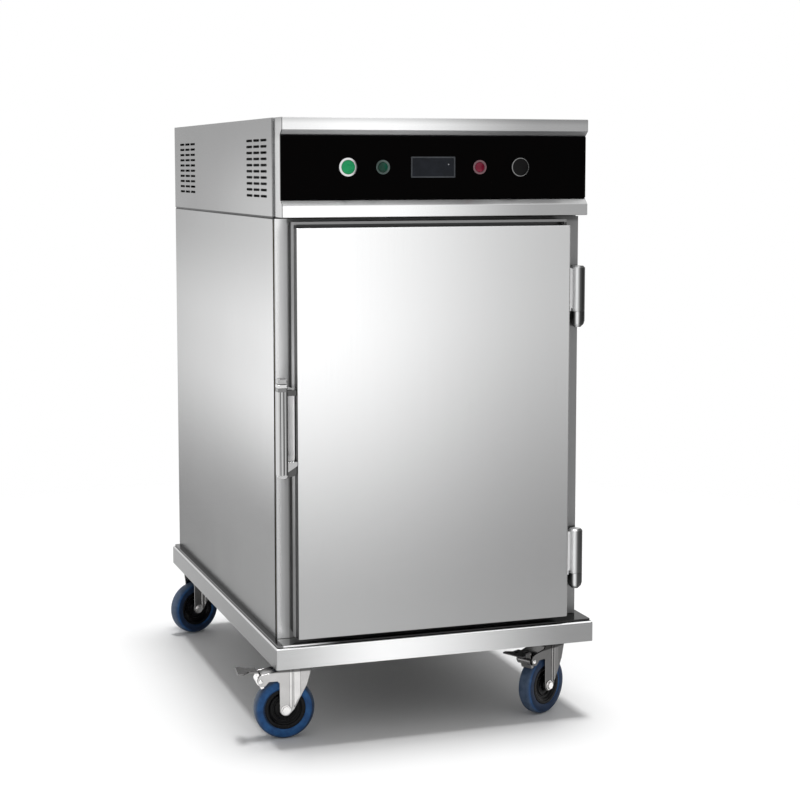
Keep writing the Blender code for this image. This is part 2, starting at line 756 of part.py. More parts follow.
def brake_pedal():
    """Lever on the brake pin: an eye, a shoe towards the tyre, and a flared foot plate."""
    half = BRAKE_PEDAL_WIDTH / 2
    eye = disc("y", (0, 0), BRAKE_EYE_RADIUS, -half, half, 16)
    sheet = BRAKE_PEDAL_SHEET
    lower, upper = BRAKE_PEDAL_HEIGHT - sheet, BRAKE_PEDAL_HEIGHT
    lever = prism([
        (-sheet, 0), (sheet, 0), (BRAKE_EYE_RADIUS, lower), (BRAKE_PEDAL_REACH / 2, lower),
        (BRAKE_PEDAL_REACH / 2, upper), (BRAKE_EYE_RADIUS - sheet, upper)], "y", -half, half)
    flare = BRAKE_PEDAL_FLARE / 2
    start = BRAKE_EYE_RADIUS + sheet
    plan = [(start, -half + sheet), (BRAKE_PEDAL_REACH / 2, -half + sheet)]
    plan += [(BRAKE_PEDAL_REACH * 0.75, -flare), (BRAKE_PEDAL_REACH - sheet, -flare)]
    plan += [(BRAKE_PEDAL_REACH, flare), (BRAKE_PEDAL_REACH * 0.75, flare)]
    plan += [(BRAKE_PEDAL_REACH / 2, half - sheet), (start, half - sheet)]
    foot = prism(plan, "z", lower + FIT, upper + FIT)
    away = math.hypot(BRAKE_PIN_BACK, BRAKE_PIN_HIGH)
    reach = away - WHEEL_RADIUS - BRAKE_GAP
    angle = math.atan2(-BRAKE_PIN_HIGH, -BRAKE_PIN_BACK) + BRAKE_THROW
    along = (math.cos(angle), math.sin(angle))
    across = (-along[1], along[0])
    thick = BRAKE_SHOE_WIDTH / 2
    shoe_outline = []
    for distance, offset in ((0, -thick), (reach, -thick), (reach, thick), (0, thick)):
        shoe_outline.append((along[0] * distance + across[0] * offset,
                             along[1] * distance + across[1] * offset))
    shoe = prism(shoe_outline, "y", -half + sheet, half - sheet)
    solid = join(eye, lever, foot, shoe)
    return cut(solid, disc("y", (0, 0), BRAKE_PIN_RADIUS + FIT, -half - OVERRUN, half + OVERRUN, 12))


# Cabinet

def side_panel(side):
    """Outer sheet with its top and bottom folded inwards; side is -1 on the left, 1 on the right."""
    edge = BODY_WIDTH / 2
    outline = [
        (side * edge, BODY_BOTTOM), (side * edge, BODY_TOP),
        (side * (edge - RETURN_FLANGE), BODY_TOP), (side * (edge - RETURN_FLANGE), BODY_TOP - SHEET),
        (side * (edge - SHEET), BODY_TOP - SHEET), (side * (edge - SHEET), BODY_BOTTOM + SHEET),
        (side * (edge - RETURN_FLANGE), BODY_BOTTOM + SHEET), (side * (edge - RETURN_FLANGE), BODY_BOTTOM),
    ]
    return prism(outline, "y", REVEAL, BODY_DEPTH - SHEET - FIT)


def back_and_top_panel():
    """One sheet: the back of the cabinet, folded forward over the top."""
    top = BODY_TOP + SEAM - FIT
    under = BODY_TOP + FIT
    outline = [
        (BODY_DEPTH, BODY_BOTTOM), (BODY_DEPTH, top), (REVEAL, top), (REVEAL, under),
        (BODY_DEPTH - SHEET, under), (BODY_DEPTH - SHEET, BODY_BOTTOM),
    ]
    edge = BODY_WIDTH / 2 - SHEET - FIT
    sheet = prism(outline, "x", -edge, edge)
    return cut(sheet, disc("z", (FAN_X, FAN_Y), FAN_SHAFT_RADIUS + FAN_SHAFT_CLEARANCE,
                           under - OVERRUN, top + OVERRUN, 12))


def face_frame():
    """Folded frame round the opening: a front face with a lip, and two returns to the rear."""
    edge = BODY_WIDTH / 2 - FACE_LIP
    outer = (-edge, BODY_BOTTOM, edge, BODY_TOP)
    loops = []
    for rectangle, depth in (
            (outer, 0), (outer, SHEET), (shrink(outer, REVEAL_DEPTH), SHEET),
            (shrink(outer, REVEAL_DEPTH), FACE_RETURN), (shrink(outer, REVEAL_DEPTH + SHEET), FACE_RETURN),
            (shrink(outer, REVEAL_DEPTH + SHEET), SHEET), (shrink(OPENING, -SHEET), SHEET),
            (shrink(OPENING, -SHEET), FACE_INNER_RETURN), (OPENING, FACE_INNER_RETURN), (OPENING, 0)):
        loops.append(place(corners(rectangle), "y", depth))
    return stack(loops, ring=True)


def chamber_liner():
    outer = shrink(OPENING, -SHEET)
    liner = pan(outer, "y", LINER_REAR, LINER_FRONT, SHEET)
    shaft = disc("z", (FAN_X, FAN_Y), FAN_SHAFT_RADIUS + FAN_SHAFT_CLEARANCE,
                 OPENING_TOP - OVERRUN, OPENING_TOP + SHEET + OVERRUN, 12)
    return cut(liner, shaft)


def cabinet_insulation():
    """Wool between the liner and the outer sheets, open at the front."""
    edge = BODY_WIDTH / 2 - SHEET - FIT
    front = FACE_RETURN + FIT
    rear = BODY_DEPTH - SHEET - FIT
    outer = (-edge, BODY_BOTTOM + SHEET + FIT, edge, BODY_TOP - SHEET - FIT)
    inner = shrink(OPENING, -SHEET - FIT)
    loops = [
        place(corners(outer), "y", rear), place(corners(outer), "y", front),
        place(corners(inner), "y", front), place(corners(inner), "y", LINER_REAR + FIT),
    ]
    shaft = disc("z", (FAN_X, FAN_Y), FAN_SHAFT_RADIUS + FAN_SHAFT_CLEARANCE,
                 OPENING_TOP - OVERRUN, BODY_TOP + OVERRUN, 12)
    return cut(stack(loops), shaft)


# Chamber fittings

def rack(side):
    """Pressed side plate with tray ledges, each ending in a small lip."""
    wall = OPENING_LEFT + FIT if side < 0 else OPENING_RIGHT - FIT
    bottom = OPENING_BOTTOM + FIT
    top = bottom + LEDGE_FIRST + LEDGE_SPACING * (LEDGES - 1) + RACK_HEAD
    tip = wall - side * LEDGE_WIDTH
    face = wall - side * LEDGE_SHEET
    outline = [(wall, bottom), (wall, top), (face, top)]
    for number in reversed(range(LEDGES)):
        level = bottom + LEDGE_FIRST + LEDGE_SPACING * number
        outline += [
            (face, level), (tip, level), (tip, level - LEDGE_LIP),
            (tip + side * LEDGE_SHEET, level - LEDGE_LIP), (tip + side * LEDGE_SHEET, level - LEDGE_SHEET),
            (face, level - LEDGE_SHEET),
        ]
    outline.append((face, bottom))
    return prism(outline, "y", RACK_FRONT, RACK_FRONT + RACK_DEPTH)


def water_pan():
    half = PAN_WIDTH / 2
    bottom = OPENING_BOTTOM + FIT
    outer = (CHAMBER_MIDDLE - half, PAN_FRONT, CHAMBER_MIDDLE + half, PAN_FRONT + PAN_LENGTH)
    body = shrink(outer, PAN_RIM)
    top = bottom + PAN_HEIGHT

    def loop(rectangle, corner, level):
        return place(rounded(rectangle, corner, 4), "z", level)

    loops = [
        loop(body, PAN_CORNER, bottom), loop(body, PAN_CORNER, top - PAN_SHEET),
        loop(outer, PAN_CORNER + PAN_RIM, top - PAN_SHEET), loop(outer, PAN_CORNER + PAN_RIM, top),
        loop(shrink(body, PAN_SHEET), PAN_CORNER - PAN_SHEET, top),
        loop(shrink(body, PAN_SHEET), PAN_CORNER - PAN_SHEET, bottom + PAN_SHEET),
    ]
    return stack(loops)


def fan_baffle():
    """Shallow tray hung under the chamber's roof, with the fan's intake in its middle."""
    half_width, half_length = CHAMBER_WIDTH / 2 - BAFFLE_SIDE_MARGIN, BAFFLE_LENGTH / 2
    outer = (FAN_X - half_width, FAN_Y - half_length, FAN_X + half_width, FAN_Y + half_length)
    rim = OPENING_TOP - FIT
    tray = pan(outer, "z", rim - BAFFLE_HEIGHT, rim, SHEET, BAFFLE_CORNER)
    intake = disc("z", (FAN_X, FAN_Y), BAFFLE_INTAKE, rim - BAFFLE_HEIGHT - OVERRUN,
                  rim - BAFFLE_HEIGHT + SHEET + OVERRUN, FAN_SIDES)
    return cut(tray, intake)


def heating_element():
    """Tube round the fan with its two ends turned up to the chamber's roof."""
    level = OPENING_TOP - HEATER_DROP
    path = []
    for step in range(HEATER_STEPS + 1):
        sweep = 2 * math.pi - HEATER_GAP_ANGLE
        angle = HEATER_GAP_ANGLE / 2 + sweep * step / HEATER_STEPS
        path.append((FAN_X + HEATER_RADIUS * math.cos(angle), FAN_Y + HEATER_RADIUS * math.sin(angle), level))
    first, last = path[0], path[-1]
    rise = OPENING_TOP - FIT
    bend = HEATER_TUBE * 2
    path = [(first[0], first[1], rise), (first[0], first[1], level + bend)] + path[1:-1]
    path += [(last[0], last[1], level + bend), (last[0], last[1], rise)]
    return tube(path, HEATER_TUBE, HEATER_SIDES)


def fan_motor():
    """Motor on the cabinet's top, bored from below for the fan's shaft."""
    seat = BODY_TOP + SEAM
    profile = [
        (MOTOR_FLANGE_RADIUS, seat), (MOTOR_FLANGE_RADIUS, seat + MOTOR_FLANGE),
        (MOTOR_RADIUS, seat + MOTOR_FLANGE), (MOTOR_RADIUS, seat + MOTOR_HEIGHT),
        (MOTOR_RADIUS * 0.9, seat + MOTOR_HEIGHT + MOTOR_FLANGE),
        (MOTOR_RADIUS * 0.3, seat + MOTOR_HEIGHT + MOTOR_FLANGE),
    ]
    body = turned(profile, "z", (FAN_X, FAN_Y))
    bore = disc("z", (FAN_X, FAN_Y), FAN_SHAFT_RADIUS + FIT, seat - OVERRUN, seat + MOTOR_ENTRY, 12)
    return cut(body, bore)


def fan_impeller():
    """Shaft and hub with flat radial blades."""
    top = BODY_TOP + SEAM + MOTOR_ENTRY - FIT
    roof = OPENING_TOP - FAN_HUB_DROP
    shaft_end = roof - FAN_BLADE_HEIGHT
    shaft = turned([(FAN_SHAFT_RADIUS, top), (FAN_SHAFT_RADIUS, roof), (FAN_HUB_RADIUS, roof),
                    (FAN_HUB_RADIUS, shaft_end)], "z", (FAN_X, FAN_Y), 12)
    blades = []
    tip = FAN_HUB_RADIUS + FAN_BLADE_LENGTH
    half = FAN_BLADE_SHEET / 2
    start = FAN_HUB_RADIUS / 2
    for number in range(FAN_BLADES):
        angle = 2 * math.pi * number / FAN_BLADES
        along = (math.cos(angle), math.sin(angle))
        outline = []
        for reach, offset in ((start, -half), (tip, -half), (tip, half), (start, half)):
            outline.append((FAN_X + along[0] * reach - along[1] * offset,
                            FAN_Y + along[1] * reach + along[0] * offset))
        blades.append(prism(outline, "z", shaft_end + FAN_BLADE_SHEET, roof - FAN_BLADE_SHEET))
    return from_pivot(join(shaft, *blades), FAN_X, FAN_Y, roof)


# Door

def door_rectangle(top):
    return (DOOR_LEFT, DOOR_BOTTOM, DOOR_RIGHT, top)


def door_outer_panel():
    """Skin: a tray open to the rear, with rounded folds."""
    outer = door_rectangle(DOOR_TOP)
    front, rear = DOOR_SKIN_FRONT, DOOR_SKIN_REAR
    edge = DOOR_EDGE_ROUND

    def loop(inset, level, corner):
        return place(rounded(shrink(outer, inset), corner, 2), "y", level)

    fold = arc((edge, front + edge), edge, 270, 180, 2)
    loops = [loop(inset, level, DOOR_CORNER - inset / 2) for inset, level in fold]
    loops += [
        loop(0, rear, DOOR_CORNER), loop(DOOR_SHEET, rear, DOOR_CORNER / 2),
        loop(DOOR_SHEET, front + edge, DOOR_CORNER / 2), loop(edge, front + DOOR_SHEET, DOOR_CORNER / 2),
    ]
    return stack(loops)


def door_inner_panel():
    outer = door_rectangle(DOOR_PAN_HEAD)
    return pan(outer, "y", DOOR_PAN_REAR, DOOR_PAN_FRONT, DOOR_SHEET, 0, DOOR_PAN_LIP)


def door_insulation():
    outer = shrink(door_rectangle(DOOR_TOP), DOOR_PAN_LIP + FIT)
    return prism(corners(outer), "y", DOOR_SKIN_FRONT + DOOR_SHEET + FIT, DOOR_PAN_REAR - DOOR_SHEET - FIT)


def door_gasket():
    """Magnetic gasket: a flat foot on the pan and a rounded bead against the face frame."""
    outer = door_rectangle(DOOR_PAN_HEAD)
    foot = DOOR_PAN_REAR + FIT
    face = -FIT
    bead = GASKET_BEAD
    loops = []
    for inset, level in (
            (0, foot), (0, face - bead), (bead, face), (GASKET_WIDTH - bead, face),
            (GASKET_WIDTH, face - bead), (GASKET_WIDTH - bead, (foot + face) / 2), (GASKET_WIDTH, foot)):
        loops.append(place(rounded(shrink(outer, inset), GASKET_CORNER), "y", level))
    return stack(loops, ring=True)


def hinge_frame_side(bottom):
    """Fixed half: a leaf on the post, a web, a round-nosed knuckle and the pin."""
    seam = bottom + HINGE_FIXED
    leaf = box((HINGE_X - HINGE_LEAF_WIDTH / 2, -FIT - HINGE_LEAF, bottom),
               (HINGE_X + HINGE_LEAF_WIDTH / 2 - FIT * 2, -FIT, bottom + HINGE_LENGTH))
    knuckle = turned([
        (HINGE_RADIUS * 0.45, bottom), (HINGE_RADIUS * 0.85, bottom + HINGE_NOSE * 0.45),
        (HINGE_RADIUS, bottom + HINGE_NOSE), (HINGE_RADIUS, seam - FIT), (HINGE_PIN_RADIUS, seam - FIT),
        (HINGE_PIN_RADIUS, seam + HINGE_PIN_LENGTH)], "z", (HINGE_X, HINGE_Y))
    web = box((HINGE_X - HINGE_WEB / 2, HINGE_Y, bottom + HINGE_NOSE / 2),
              (HINGE_X + HINGE_WEB / 2, -FIT - HINGE_LEAF / 2, seam - HINGE_LEAF))
    return join(leaf, knuckle, web)


def hinge_door_side(bottom):
    """Moving half: a bored knuckle, a web and a leaf on the door's edge."""
    seam = bottom + HINGE_FIXED
    top = bottom + HINGE_LENGTH
    knuckle = turned([
        (HINGE_RADIUS, seam), (HINGE_RADIUS, top - HINGE_CROWN), (HINGE_RADIUS - HINGE_CROWN, top)],
        "z", (HINGE_X, HINGE_Y))
    leaf_x = DOOR_RIGHT + FIT
    leaf_front = DOOR_SKIN_FRONT + DOOR_CORNER
    leaf = box((leaf_x, leaf_front, seam + HINGE_LEAF), (leaf_x + HINGE_LEAF, DOOR_PAN_REAR, top - HINGE_LEAF))
    web = box((leaf_x + HINGE_LEAF / 2, HINGE_Y - HINGE_WEB / 2, seam + HINGE_LEAF * 2),
              (HINGE_X, HINGE_Y + HINGE_WEB / 2, top - HINGE_LEAF * 2))
    bore = disc("z", (HINGE_X, HINGE_Y), HINGE_PIN_RADIUS + FIT, seam - OVERRUN,
                seam + HINGE_PIN_LENGTH + HINGE_LEAF, ROUND_SIDES)
    return cut(join(knuckle, leaf, web), bore)


def door_handle():
    """Cast pull: a ribbed grip that stands beside the door on two arms from the door's edge."""
    left = LEFT - PULL_GRIP_REACH
    right = left + PULL_GRIP_WIDTH
    front, rear = -PULL_GRIP_FRONT, -PULL_GRIP_FRONT + PULL_GRIP_DEPTH
    bottom, top = BODY_BOTTOM + PULL_BOTTOM, BODY_BOTTOM + PULL_TOP
    rib = PULL_RIB
    plan = [
        (left, rear), (left, front + rib * 2), (left + rib, front + rib), (left + rib * 2, front + rib * 1.5),
        (left + rib * 3, front + rib * 1.5), (left + rib * 4, front), (left + rib * 8, front),
        (left + rib * 9, front + rib * 1.2), (right - rib, front + rib * 1.2), (right, front + rib * 2.4),
        (right, rear),
    ]
    grip = prism(plan, "z", bottom + PULL_LOWER_ROUND, top - PULL_HEAD)
    head = stack([place(corners((left, front, right, rear)), "z", top - PULL_HEAD - rib),
                  place(corners((left, front, right, rear)), "z", top - rib * 2),
                  place(corners(shrink((left, front, right, rear), rib * 1.5)), "z", top)])
    arm_front = -PULL_ARM_FRONT
    arm_rear = arm_front + PULL_ARM_DEPTH
    door_edge = DOOR_LEFT - FIT
    upper_top = BODY_BOTTOM + PULL_UPPER_ARM_TOP
    upper = box((left + rib * 2, arm_front, upper_top - PULL_UPPER_ARM), (door_edge, arm_rear, upper_top))
    radius = PULL_LOWER_ROUND
    lower_outline = arc((left + radius, bottom + radius), radius, 180, 270, 4)
    lower_outline += [(right, bottom), (door_edge, bottom + rib * 3), (door_edge, bottom + PULL_LOWER_ARM)]
    lower_outline += [(right + rib, bottom + PULL_LOWER_ARM - rib * 2), (right, bottom + PULL_LOWER_ARM)]
    lower_outline += [(left, bottom + PULL_LOWER_ARM)]
    lower = prism(lower_outline, "y", arm_front, arm_rear)
    lower_front_outline = arc((left + radius, bottom + radius), radius, 180, 270, 4)
    lower_front_outline += [(right, bottom + rib), (right, bottom + PULL_LOWER_ARM)]
    lower_front_outline += [(left, bottom + PULL_LOWER_ARM)]
    lower_front = prism(lower_front_outline, "y", front + rib * 2, rear - rib)
    pad = box((door_edge - PULL_PAD, DOOR_PAN_FRONT - PULL_PAD * 2, bottom + rib * 3),
              (door_edge, -STRIKE_SHEET - FIT * 2, BODY_BOTTOM + PULL_UPPER_ARM_TOP))
    return join(grip, head, upper, lower, lower_front, pad)


def door_strike():
    """Steel plate on the post, opposite the pull's magnet."""
    left = LEFT + FACE_LIP + STRIKE_MARGIN
    bottom = BODY_BOTTOM + PULL_BOTTOM + PULL_LOWER_ARM
    top = BODY_BOTTOM + PULL_UPPER_ARM_TOP
    outline = rounded((left, bottom, left + STRIKE_WIDTH, top), STRIKE_MARGIN / 2)
    return prism(outline, "y", -FIT - STRIKE_SHEET, -FIT)


# Control housing

def vent_cutter():
    """All slots of both sides: each slot runs through the two side walls at once."""
    slots = []
    radius = VENT_HEIGHT / 2
    for group in (VENT_FRONT_GROUP, VENT_REAR_GROUP):
        for column in range(VENT_COLUMNS):
            for row in range(VENT_ROWS):
                y = group + (column - (VENT_COLUMNS - 1) / 2) * VENT_COLUMN_SPACING
                z = HOUSING_BOTTOM + VENT_FIRST_ROW + row * VENT_ROW_SPACING
                run = VENT_LENGTH / 2 - radius
                outline = arc((y + run, z), radius, -90, 90, 2) + arc((y - run, z), radius, 90, 270, 2)
                slots.append(prism(outline, "x", LEFT - OVERRUN, RIGHT + OVERRUN))
    return together(slots)


def housing_cover():
    """One folded sheet: two sides, the top and a small return along the foot of each side."""
    edge = BODY_WIDTH / 2
    sheet = HOUSING_SHEET
    half = [
        (edge - RETURN_FLANGE, HOUSING_BOTTOM + sheet), (edge - RETURN_FLANGE, HOUSING_BOTTOM),
        (edge, HOUSING_BOTTOM), (edge, HOUSING_TOP),
    ]
    inner = [
        (edge - sheet, HOUSING_TOP - sheet), (edge - sheet, HOUSING_BOTTOM + sheet),
    ]
    outline = half + [(-a, b) for a, b in reversed(half)]
    outline += [(-a, b) for a, b in reversed(inner)] + inner
    cover = prism(outline, "y", REVEAL, BODY_DEPTH - HOUSING_SHEET - FIT)
    return cut(cover, vent_cutter())


def housing_back():
    edge = BODY_WIDTH / 2
    sheet = prism(corners((-edge, HOUSING_BOTTOM, edge, HOUSING_TOP)), "y",
                  BODY_DEPTH - HOUSING_SHEET, BODY_DEPTH)
    half_width = INLET_WIDTH / 2 - INLET_NECK_INSET + FIT
    half_height = INLET_HEIGHT / 2 - INLET_NECK_INSET + FIT
    z = HOUSING_BOTTOM + INLET_Z
    hole = prism(corners((INLET_X - half_width, z - half_height, INLET_X + half_width, z + half_height)),
                 "y", BODY_DEPTH - HOUSING_SHEET - OVERRUN, BODY_DEPTH + OVERRUN)
    return cut(sheet, hole)


def fascia_outline(inset, back):
    """Section of the fascia: two bars and the recess between them, moved in by a wall."""
    low, high = HOUSING_BOTTOM + inset, HOUSING_TOP - inset
    front = FASCIA_FRONT + inset
    recess = RECESS_Y + inset
    shift = inset * math.tan(math.pi / 8)
    return [
        (back, low), (front, low), (front, HOUSING_BOTTOM + FASCIA_LOW_BAR - shift),
        (recess, PANEL_BOTTOM - shift), (recess, PANEL_TOP + shift),
        (front, HOUSING_TOP - FASCIA_TOP_BAR + shift), (front, high), (back, high),
    ]


def control_holes(front, rear, clearance):
    """Cutters for the buttons' and lamps' necks and for the display's body."""
    holes = []
    for x in (START_X, GREEN_LAMP_X, RED_LAMP_X, STOP_X):
        holes.append(disc("y", (x, CONTROL_Z), BUTTON_NECK_RADIUS + clearance, front, rear, 16))
    half_width = DISPLAY_WIDTH / 2 - DISPLAY_NECK_INSET + clearance
    half_height = DISPLAY_HEIGHT / 2 - DISPLAY_NECK_INSET + clearance
    holes.append(prism(corners((DISPLAY_X - half_width, CONTROL_Z - half_height,
                                DISPLAY_X + half_width, CONTROL_Z + half_height)), "y", front, rear))
    return holes


def fascia():
    """Pressed front with closed ends, and a tongue that slides into the housing."""
    half = BODY_WIDTH / 2 - FASCIA_SIDE_INSET
    shell = prism(fascia_outline(0, 0), "x", -half, half)
    tongue_half = half - FASCIA_TONGUE_INSET
    low = HOUSING_BOTTOM + HOUSING_SHEET + FIT
    high = HOUSING_TOP - HOUSING_SHEET - FIT
    tongue = box((-tongue_half, -FASCIA_TONGUE / 2, low), (tongue_half, FASCIA_TONGUE, high))
    shell = join(shell, tongue)
    hollow_half = tongue_half - FASCIA_SHEET
    hollow = prism(fascia_outline(FASCIA_SHEET, FASCIA_TONGUE + OVERRUN), "x", -hollow_half, hollow_half)
    body = combine(hollow, [box((-BODY_WIDTH, FASCIA_FRONT, low + FASCIA_SHEET),
                                (BODY_WIDTH, FASCIA_TONGUE + OVERRUN * 2, high - FASCIA_SHEET))], "INTERSECT")
    shell = cut(shell, body)
    return cut(shell, *control_holes(RECESS_Y - OVERRUN, RECESS_Y + FASCIA_SHEET + OVERRUN, FIT))


def control_panel():
    half = BODY_WIDTH / 2 - FASCIA_SIDE_INSET - PANEL_MARGIN
    sheet = prism(corners((-half, PANEL_BOTTOM + PANEL_MARGIN, half, PANEL_TOP - PANEL_MARGIN)),
                  "y", PANEL_FRONT, PANEL_FRONT + PANEL_SHEET)
    return cut(sheet, *control_holes(PANEL_FRONT - OVERRUN, RECESS_Y + OVERRUN, FIT))


def button_ring(x, cap_radius):
    """Bezel with its neck through the panel, open from front to back for the cap and its stem."""
    seat = PANEL_FRONT - FIT
    front = seat - BUTTON_RING_HEIGHT
    bevel = BUTTON_RING_HEIGHT / 4
    bore = cap_radius + FIT
    shelf = front + BUTTON_CAP + BUTTON_TRAVEL
    neck_bore = BUTTON_NECK_RADIUS - BUTTON_NECK_WALL
    rim = BUTTON_RING_RADIUS
    profile = [
        (bore, front), (rim - bevel, front), (rim, front + bevel), (rim, seat),
        (BUTTON_NECK_RADIUS, seat), (BUTTON_NECK_RADIUS, seat + BUTTON_NECK),
        (neck_bore, seat + BUTTON_NECK), (neck_bore, shelf), (bore, shelf),
    ]
    return turned(profile, "y", (x, CONTROL_Z), 24, ring=True)


def button(x, cap_radius):
    """Cap with a crowned face and a stem that runs in the ring's neck."""
    seat = PANEL_FRONT - FIT
    front = seat - BUTTON_RING_HEIGHT - BUTTON_PROUD
    back = front + BUTTON_CAP
    profile = [
        (cap_radius * 0.6, front), (cap_radius - BUTTON_PROUD, front + BUTTON_PROUD / 3),
        (cap_radius, front + BUTTON_PROUD), (cap_radius, back), (BUTTON_STEM_RADIUS, back),
        (BUTTON_STEM_RADIUS, back + BUTTON_STEM),
    ]
    return from_pivot(turned(profile, "y", (x, CONTROL_Z), 24), x, front, CONTROL_Z)


def pilot_lamp(x):
    """Bezel, domed lens and neck of one lamp."""
    seat = PANEL_FRONT - FIT
    front = seat - LAMP_HEIGHT
    rim = LAMP_RING_RADIUS
    bevel = LAMP_HEIGHT / 3
    profile = [
        (LAMP_LENS_RADIUS * 0.4, front - LAMP_DOME), (LAMP_LENS_RADIUS * 0.85, front - LAMP_DOME / 2),
        (LAMP_LENS_RADIUS, front + bevel), (LAMP_LENS_RADIUS + bevel, front), (rim - bevel, front),
        (rim, front + bevel), (rim, seat), (BUTTON_NECK_RADIUS, seat),
        (BUTTON_NECK_RADIUS, seat + BUTTON_NECK),
    ]
    return turned(profile, "y", (x, CONTROL_Z), 24)


def display():
    """Controller: a bezel on the panel round a sunk window, and its body behind."""
    seat = PANEL_FRONT - FIT
    half_width, half_height = DISPLAY_WIDTH / 2, DISPLAY_HEIGHT / 2
    outer = (DISPLAY_X - half_width, CONTROL_Z - half_height, DISPLAY_X + half_width, CONTROL_Z + half_height)
    neck = shrink(outer, DISPLAY_NECK_INSET)
    bezel = DISPLAY_BEZEL

    def loop(rectangle, corner, level):
        return place(rounded(rectangle, corner, 2), "y", level)

    loops = [
        loop(shrink(outer, DISPLAY_RIM), DISPLAY_CORNER / 2, seat - bezel / 2),
        loop(shrink(outer, DISPLAY_RIM - bezel / 4), DISPLAY_CORNER / 2, seat - bezel),
        loop(shrink(outer, bezel / 4), DISPLAY_CORNER, seat - bezel),
        loop(outer, DISPLAY_CORNER, seat - bezel * 0.75),
        loop(outer, DISPLAY_CORNER, seat),
        loop(neck, DISPLAY_CORNER / 2, seat),
        loop(neck, DISPLAY_CORNER / 2, seat + DISPLAY_DEPTH),
    ]
    return stack(loops)


def control_board():
    """Board on the back of the controller, with its transformer."""
    front = PANEL_FRONT + DISPLAY_DEPTH
    half_width, half_height = BOARD_WIDTH / 2, BOARD_HEIGHT / 2
    board = box((DISPLAY_X - half_width, front, CONTROL_Z - half_height),
                (DISPLAY_X + half_width, front + BOARD_SHEET, CONTROL_Z + half_height))
    block_x = DISPLAY_X + half_width - BOARD_BLOCK_WIDTH
    block = box((block_x - BOARD_BLOCK_WIDTH / 2, front + BOARD_SHEET / 2, CONTROL_Z - BOARD_BLOCK_HEIGHT / 2),
                (block_x + BOARD_BLOCK_WIDTH / 2, front + BOARD_BLOCK_DEPTH, CONTROL_Z + BOARD_BLOCK_HEIGHT / 2))
    return join(board, block)


def power_inlet():
    """Inlet socket: a flange outside the housing's back and a hollow body inside."""
    z = HOUSING_BOTTOM + INLET_Z
    half_width, half_height = INLET_WIDTH / 2, INLET_HEIGHT / 2
    outer = (INLET_X - half_width, z - half_height, INLET_X + half_width, z + half_height)
    neck = shrink(outer, INLET_NECK_INSET)
    socket = shrink(neck, INLET_SOCKET_INSET)
    seat = BODY_DEPTH + FIT
    outside = seat + INLET_FLANGE
    corner = INLET_FLANGE

    def loop(rectangle, level):
        return place(rounded(rectangle, corner, 2), "y", level)

    loops = [
        loop(socket, outside - INLET_SOCKET_DEPTH), loop(socket, outside), loop(outer, outside),
        loop(outer, seat), loop(neck, seat), loop(neck, seat - INLET_DEPTH),
    ]
    return stack(loops)


# Assembly

def build_casters(cart):
    braked, plain = fork(True), fork(False)
    wheel_meshes = {"wheel_hub_": (wheel_hub(), "black_nylon"), "wheel_tyre_": (wheel_tyre(), "blue_rubber")}
    centres = {
        "front_left": (FRAME_LEFT + CASTER_SIDE_INSET, FRAME_FRONT + CASTER_FRONT_INSET),
        "front_right": (FRAME_RIGHT - CASTER_SIDE_INSET, FRAME_FRONT + CASTER_FRONT_INSET),
        "rear_left": (FRAME_LEFT + CASTER_SIDE_INSET, FRAME_REAR - CASTER_REAR_INSET),
        "rear_right": (FRAME_RIGHT - CASTER_SIDE_INSET, FRAME_REAR - CASTER_REAR_INSET),
    }
    for corner in CORNERS:
        x, y = centres[corner]
        mount = add_pivot("caster_mount_" + corner, cart, (x, y, 0))
        add_piece("caster_plate_" + corner, caster_plate(), "zinc_plate", mount)
        swivel = add_pivot("swivel_" + corner, cart, (x, y, 0), HEADING[corner])
        has_brake = corner.startswith("front")
        mesh = (braked if has_brake else plain).copy()
        add_piece("caster_fork_" + corner, mesh, "zinc_plate", swivel)
        add_piece("wheel_axle_" + corner, axle(), "zinc_plate", swivel)
        wheel = add_pivot("wheel_" + corner, swivel, (CASTER_TRAIL, 0, AXLE_HEIGHT))
        for prefix, (wheel_mesh, finish) in wheel_meshes.items():
            add_piece(prefix + corner, wheel_mesh.copy(), finish, wheel)
        if has_brake:
            pivot = add_pivot("brake_" + corner, swivel, (BRAKE_PIN_X, 0, BRAKE_PIN_Z))
            add_piece("brake_pedal_" + corner, brake_pedal(), "zinc_plate", pivot)


def build_cabinet(cart):
    add_piece("base_frame", base_frame(), "brushed_steel", cart)
    add_piece("base_plate", base_plate(), "brushed_steel", cart)
    add_piece("side_panel_left", side_panel(-1), "brushed_steel", cart)
    add_piece("side_panel_right", side_panel(1), "brushed_steel", cart)
    add_piece("back_and_top_panel", back_and_top_panel(), "brushed_steel", cart)
    add_piece("face_frame", face_frame(), "brushed_steel", cart)
    add_piece("chamber_liner", chamber_liner(), "plain_steel", cart)
    add_piece("cabinet_insulation", cabinet_insulation(), "mineral_wool", cart)
    add_piece("rack_left", rack(-1), "plain_steel", cart)
    add_piece("rack_right", rack(1), "plain_steel", cart)
    add_piece("water_pan", water_pan(), "plain_steel", cart)
    add_piece("fan_baffle", fan_baffle(), "plain_steel", cart)
    add_piece("heating_element", heating_element(), "dark_tube", cart)
    add_piece("fan_motor", fan_motor(), "plain_steel", cart)
    roof = OPENING_TOP - FAN_HUB_DROP
    fan = add_pivot("fan_axis", cart, (FAN_X, FAN_Y, roof))
    add_piece("fan_impeller", fan_impeller(), "plain_steel", fan)


